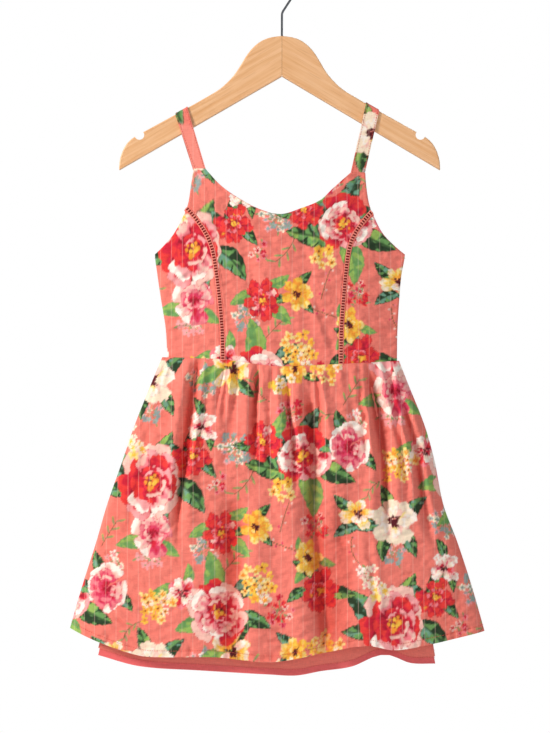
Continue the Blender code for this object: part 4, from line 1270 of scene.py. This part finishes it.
barPoints, barAcross, barEdges = [], [], []
for side in ("left", "right"):
    count = evenCount(edgeLengths["princess"], 2.0) + 1
    run = princessEdge(side, 0.0, count)
    ahead = np.gradient(run, axis=0)
    ahead /= np.linalg.norm(ahead, axis=1, keepdims=True)
    sideways = np.stack([-ahead[:, 1], ahead[:, 0]], axis=1)
    if sideways[0, 0] < 0:
        sideways = -sideways
    bands = []
    for sign in (-1, 1):
        inner = run + sideways * sign * (trims["width"] / 2 - trims["edge"])
        outer = run + sideways * sign * (trims["width"] / 2 + trims["lap"])
        pair = (outer, inner) if sign < 0 else (inner, outer)
        u = np.linspace(0, 1, 5)[None, :, None]
        flat = mix(pair[0][:, None], pair[1][:, None], u)
        band = bodiceGrid("front", flat)
        band[..., 1] -= 0.25 * np.sin(np.pi * u[..., 0]) + 0.3
        bands.append(band)
    made = []
    for number, band in enumerate(bands):
        # The rails are painted lighter than the ground, a painted highlight against the shade on their
        # rounded sides.
        colours = np.tile(ink("ground") * 1.12, (*band.shape[:2], 1))
        uv = np.stack([band[..., 0], -band[..., 2]], axis=-1)
        made.append(shell(f"ladder{number}", band, trims["thick"], "front", colours, uv, "printedCottonLawn"))
    # The bodice's lining shows between the bars, so a narrow strip of it lies behind them, painted dark in
    # its middle as the shade in the gaps.
    u = np.linspace(-0.5, 0.5, 17)[None, :, None]
    backing = bodiceGrid("front", run[:, None] + sideways[:, None] * u * (trims["width"] + 3.0))
    backing[..., 1] += cloth["shownWall"] + 0.1
    slot = (np.abs(u) < trims["slot"]) & np.ones((*backing.shape[:2], 1), bool)
    colours = np.where(slot, ink("shadeBehindBars"), ink("ground"))
    uv = np.stack([backing[..., 0], -backing[..., 2]], axis=-1)
    made.append(shell("backing", backing, cloth["backingWall"], "front", colours, uv, "plainCottonVoile"))
    with bpy.context.temp_override(active_object=made[0], selected_editable_objects=made, object=made[0]):
        bpy.ops.object.join()
    made[0].name = made[0].data.name = "ladderTrim_" + side
    pieces["ladderTrim_" + side] = {
        "object": made[0], "node": "ladder_trim_" + side, "slot": "ladder_trim", "flat": (0.012, 0.205),
        "held": "hung", "share": 0.62}
    middle = bodiceGrid("front", run[:, None])[:, 0]
    middle[:, 1] -= 0.3
    base = len(barPoints)
    barPoints += (middle * mm).tolist()
    barAcross += [(x, 0.0, -y) for x, y in sideways]
    barEdges += [(base + k, base + k + 1) for k in range(count - 1)]


def lineMesh(name, points, edges, across=None):
    mesh = bpy.data.meshes.new(name)
    mesh.from_pydata([tuple(p) for p in points], edges, [])
    if across is not None:
        attribute = mesh.attributes.new("across", "FLOAT_VECTOR", "POINT")
        attribute.data.foreach_set("vector", np.array(across).ravel())
    made = addObject(name, mesh)
    return made


def repeatTree(name, turnFrom):
    # Sets small rounded bars along a line, a pitch apart, lengthwise or across it.
    tree = bpy.data.node_groups.new(name, "GeometryNodeTree")
    tree.interface.new_socket("Geometry", in_out="INPUT", socket_type="NodeSocketGeometry")
    for label in ("Pitch", "Length", "Radius"):
        tree.interface.new_socket(label, in_out="INPUT", socket_type="NodeSocketFloat")
    tree.interface.new_socket("Material", in_out="INPUT", socket_type="NodeSocketMaterial")
    tree.interface.new_socket("Geometry", in_out="OUTPUT", socket_type="NodeSocketGeometry")
    given = addNode(tree, "NodeGroupInput").outputs
    curve = addNode(tree, "GeometryNodeMeshToCurve", None, {0: given["Geometry"]})
    even = addNode(tree, "GeometryNodeResampleCurve", {"mode": "LENGTH"},
                   {"Curve": curve.outputs[0], "Length": given["Pitch"]})
    if turnFrom == "across":
        way = addNode(tree, "GeometryNodeInputNamedAttribute", {"data_type": "FLOAT_VECTOR"},
                      {"Name": "across"})
    else:
        way = addNode(tree, "GeometryNodeInputTangent")
    turned = addNode(tree, "FunctionNodeAlignRotationToVector", {"axis": "Z"}, {"Vector": way.outputs[0]})
    ball = addNode(tree, "GeometryNodeMeshUVSphere", None, {"Segments": 8, "Rings": 5, "Radius": 1.0})
    half = addNode(tree, "ShaderNodeMath", {"operation": "MULTIPLY"}, {0: given["Length"], 1: 0.5})
    size = addNode(tree, "ShaderNodeCombineXYZ", None,
                   {0: given["Radius"], 1: given["Radius"], 2: half.outputs[0]})
    vary = addNode(tree, "FunctionNodeRandomValue", {"data_type": "FLOAT"}, {2: 0.85, 3: 1.12, "Seed": 4})
    scaled = addNode(tree, "ShaderNodeVectorMath", {"operation": "SCALE"},
                     {0: size.outputs[0], "Scale": vary.outputs[1]})
    placed = addNode(tree, "GeometryNodeInstanceOnPoints", None,
                     {"Points": even.outputs[0], "Instance": ball.outputs[0], "Rotation": turned.outputs[0],
                      "Scale": scaled.outputs[0]})
    real = addNode(tree, "GeometryNodeRealizeInstances", None, {0: placed.outputs[0]})
    coloured = addNode(tree, "GeometryNodeSetMaterial", None,
                       {0: real.outputs[0], "Material": given["Material"]})
    addNode(tree, "NodeGroupOutput", None, {0: coloured.outputs[0]})
    return tree


def repeatAlong(name, guide, tree, values):
    # Runs the tree on the guide line, and keeps the result as a plain mesh.
    modifier = guide.modifiers.new(tree.name, "NODES")
    modifier.node_group = tree
    for item in tree.interface.items_tree:
        if item.in_out == "INPUT" and item.name in values:
            modifier[item.identifier] = values[item.name]
    graph = bpy.context.evaluated_depsgraph_get()
    mesh = bpy.data.meshes.new_from_object(guide.evaluated_get(graph))
    guide.modifiers.remove(modifier)
    bpy.data.objects.remove(guide, do_unlink=True)
    mesh.name = name
    mesh.shade_smooth()
    made = addObject(name, mesh)
    print(name, len(mesh.polygons), "faces")
    return made


barLine = lineMesh("barLine", barPoints, barEdges, barAcross)
bars = repeatAlong("ladderBars", barLine, repeatTree("ladderBarTree", "across"),
                   {"Pitch": trims["pitch"] * mm, "Length": (trims["width"] + 0.8) * mm,
                    "Radius": trims["rung"] / 2 * mm, "Material": materials["spunCottonLace"]})
stitchPoints, stitchEdges = [], []
for line in lines:
    base = len(stitchPoints)
    stitchPoints += (line * mm).tolist()
    stitchEdges += [(base + k, base + k + 1) for k in range(len(line) - 1)]
stitching = {"pitch": 2.7, "length": 2.0, "radius": 0.24}
stitchLine = lineMesh("stitchLine", stitchPoints, stitchEdges)
stitches = repeatAlong("topstitching", stitchLine, repeatTree("stitchTree", "along"),
                       {"Pitch": stitching["pitch"] * mm, "Length": stitching["length"] * mm,
                        "Radius": stitching["radius"] * mm, "Material": materials["spunCottonThread"]})

for node in ("hanger_arm_left", "hanger_arm_right"):
    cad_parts[node].data.materials[0] = materials["varnishedMaple"]
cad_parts["hanger_hook"].data.materials[0] = materials["platedSteelWire"]

# The glue line of the mitre, in the narrow gap between the two arms.
glueLine = {"x": (-0.15, 0.15), "y": (-5.4, 5.4), "drop": (74.6, 116.6)}
gluePoints = [(x, y, -drop) for drop in glueLine["drop"] for y in glueLine["y"] for x in glueLine["x"]]
glueMesh = bpy.data.meshes.new("mitreGlue")
glueMesh.from_pydata([tuple(mm * value for value in point) for point in gluePoints], [],
                     [(0, 2, 3, 1), (4, 5, 7, 6), (0, 1, 5, 4), (1, 3, 7, 5), (3, 2, 6, 7), (2, 0, 4, 6)])
glueMesh.materials.append(materials["driedWoodGlue"])
glue = addObject("mitreGlue", glueMesh)

for name, piece in pieces.items():
    made = piece["object"]
    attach(made, "root")
    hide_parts(piece["node"])
for made, slot in ((bars, "ladder_trim"), (stitches, "printed_cotton"), (glue, "wood")):
    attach(made, "root")


# Studio

# In metres.
studio = {"eye": (-0.0078, -3.0, -0.4443), "frameHeight": 0.8195, "subject": -0.015, "floorDrop": 1.05,
          "aim": (0, 0, -0.45)}
camera = bpy.data.cameras.new("camera")
camera.sensor_fit = "VERTICAL"
camera.sensor_height = 36.0
camera.lens = camera.sensor_height * (studio["subject"] - studio["eye"][1]) / studio["frameHeight"]
cameraObject = addObject("camera", camera)
cameraObject.location = studio["eye"]
cameraObject.rotation_euler = (math.pi / 2, 0.0, 0.0)
bpy.context.scene.camera = cameraObject


def areaLight(name, place, size, power, colour):
    light = bpy.data.lights.new(name, "AREA")
    light.shape = "DISK"
    light.size = size
    light.energy = power
    light.color = hexColour(colour)
    made = addObject(name, light)
    made.location = place
    made.rotation_euler = (Vector(studio["aim"]) - Vector(place)).to_track_quat("-Z", "Y").to_euler()


areaLight("keyLight", (-2.3, -1.15, 0.8), 0.6, 76, "#FFF9F2")
areaLight("fillLight", (1.2, -2.6, 0.0), 1.6, 10, "#F4F7FF")
areaLight("backLight", (0.6, 2.2, 0.6), 1.6, 26, "#FFFFFF")
world = bpy.data.worlds.new("paleStudio")
bpy.context.scene.world = world
bpy.context.scene.view_settings.view_transform = "Standard"
world.use_nodes = True
sky = world.node_tree.nodes["Background"]
sky.inputs[0].default_value = (1, 1, 1, 1)
seen = addNode(world.node_tree, "ShaderNodeLightPath").outputs["Is Camera Ray"]
level = addNode(world.node_tree, "ShaderNodeMapRange", None, {"Value": seen, "To Min": 0.36, "To Max": 1.0})
world.node_tree.links.new(level.outputs[0], sky.inputs[1])

floorMesh = bpy.data.meshes.new("paleFloor")
floorCorners = ((-1.6, -1.6), (1.6, -1.6), (1.6, 1.0), (-1.6, 1.0))
floorMesh.from_pydata([(x, y, -studio["floorDrop"]) for x, y in floorCorners], [], [(0, 1, 2, 3)])
floorMaterial, floorTree, floorShader = newMaterial("mattWhitePaint")
setInputs(floorTree, floorShader, {"Base Color": rgba("#F4F4F2"), "Roughness": 0.9})
floorMesh.materials.append(floorMaterial)
floor = addObject("paleFloor", floorMesh)
floor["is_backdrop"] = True

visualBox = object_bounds()
({"cad": [list(map(float, corner)) for corner in cadBox],
           "visual": [list(map(float, corner)) for corner in visualBox]})
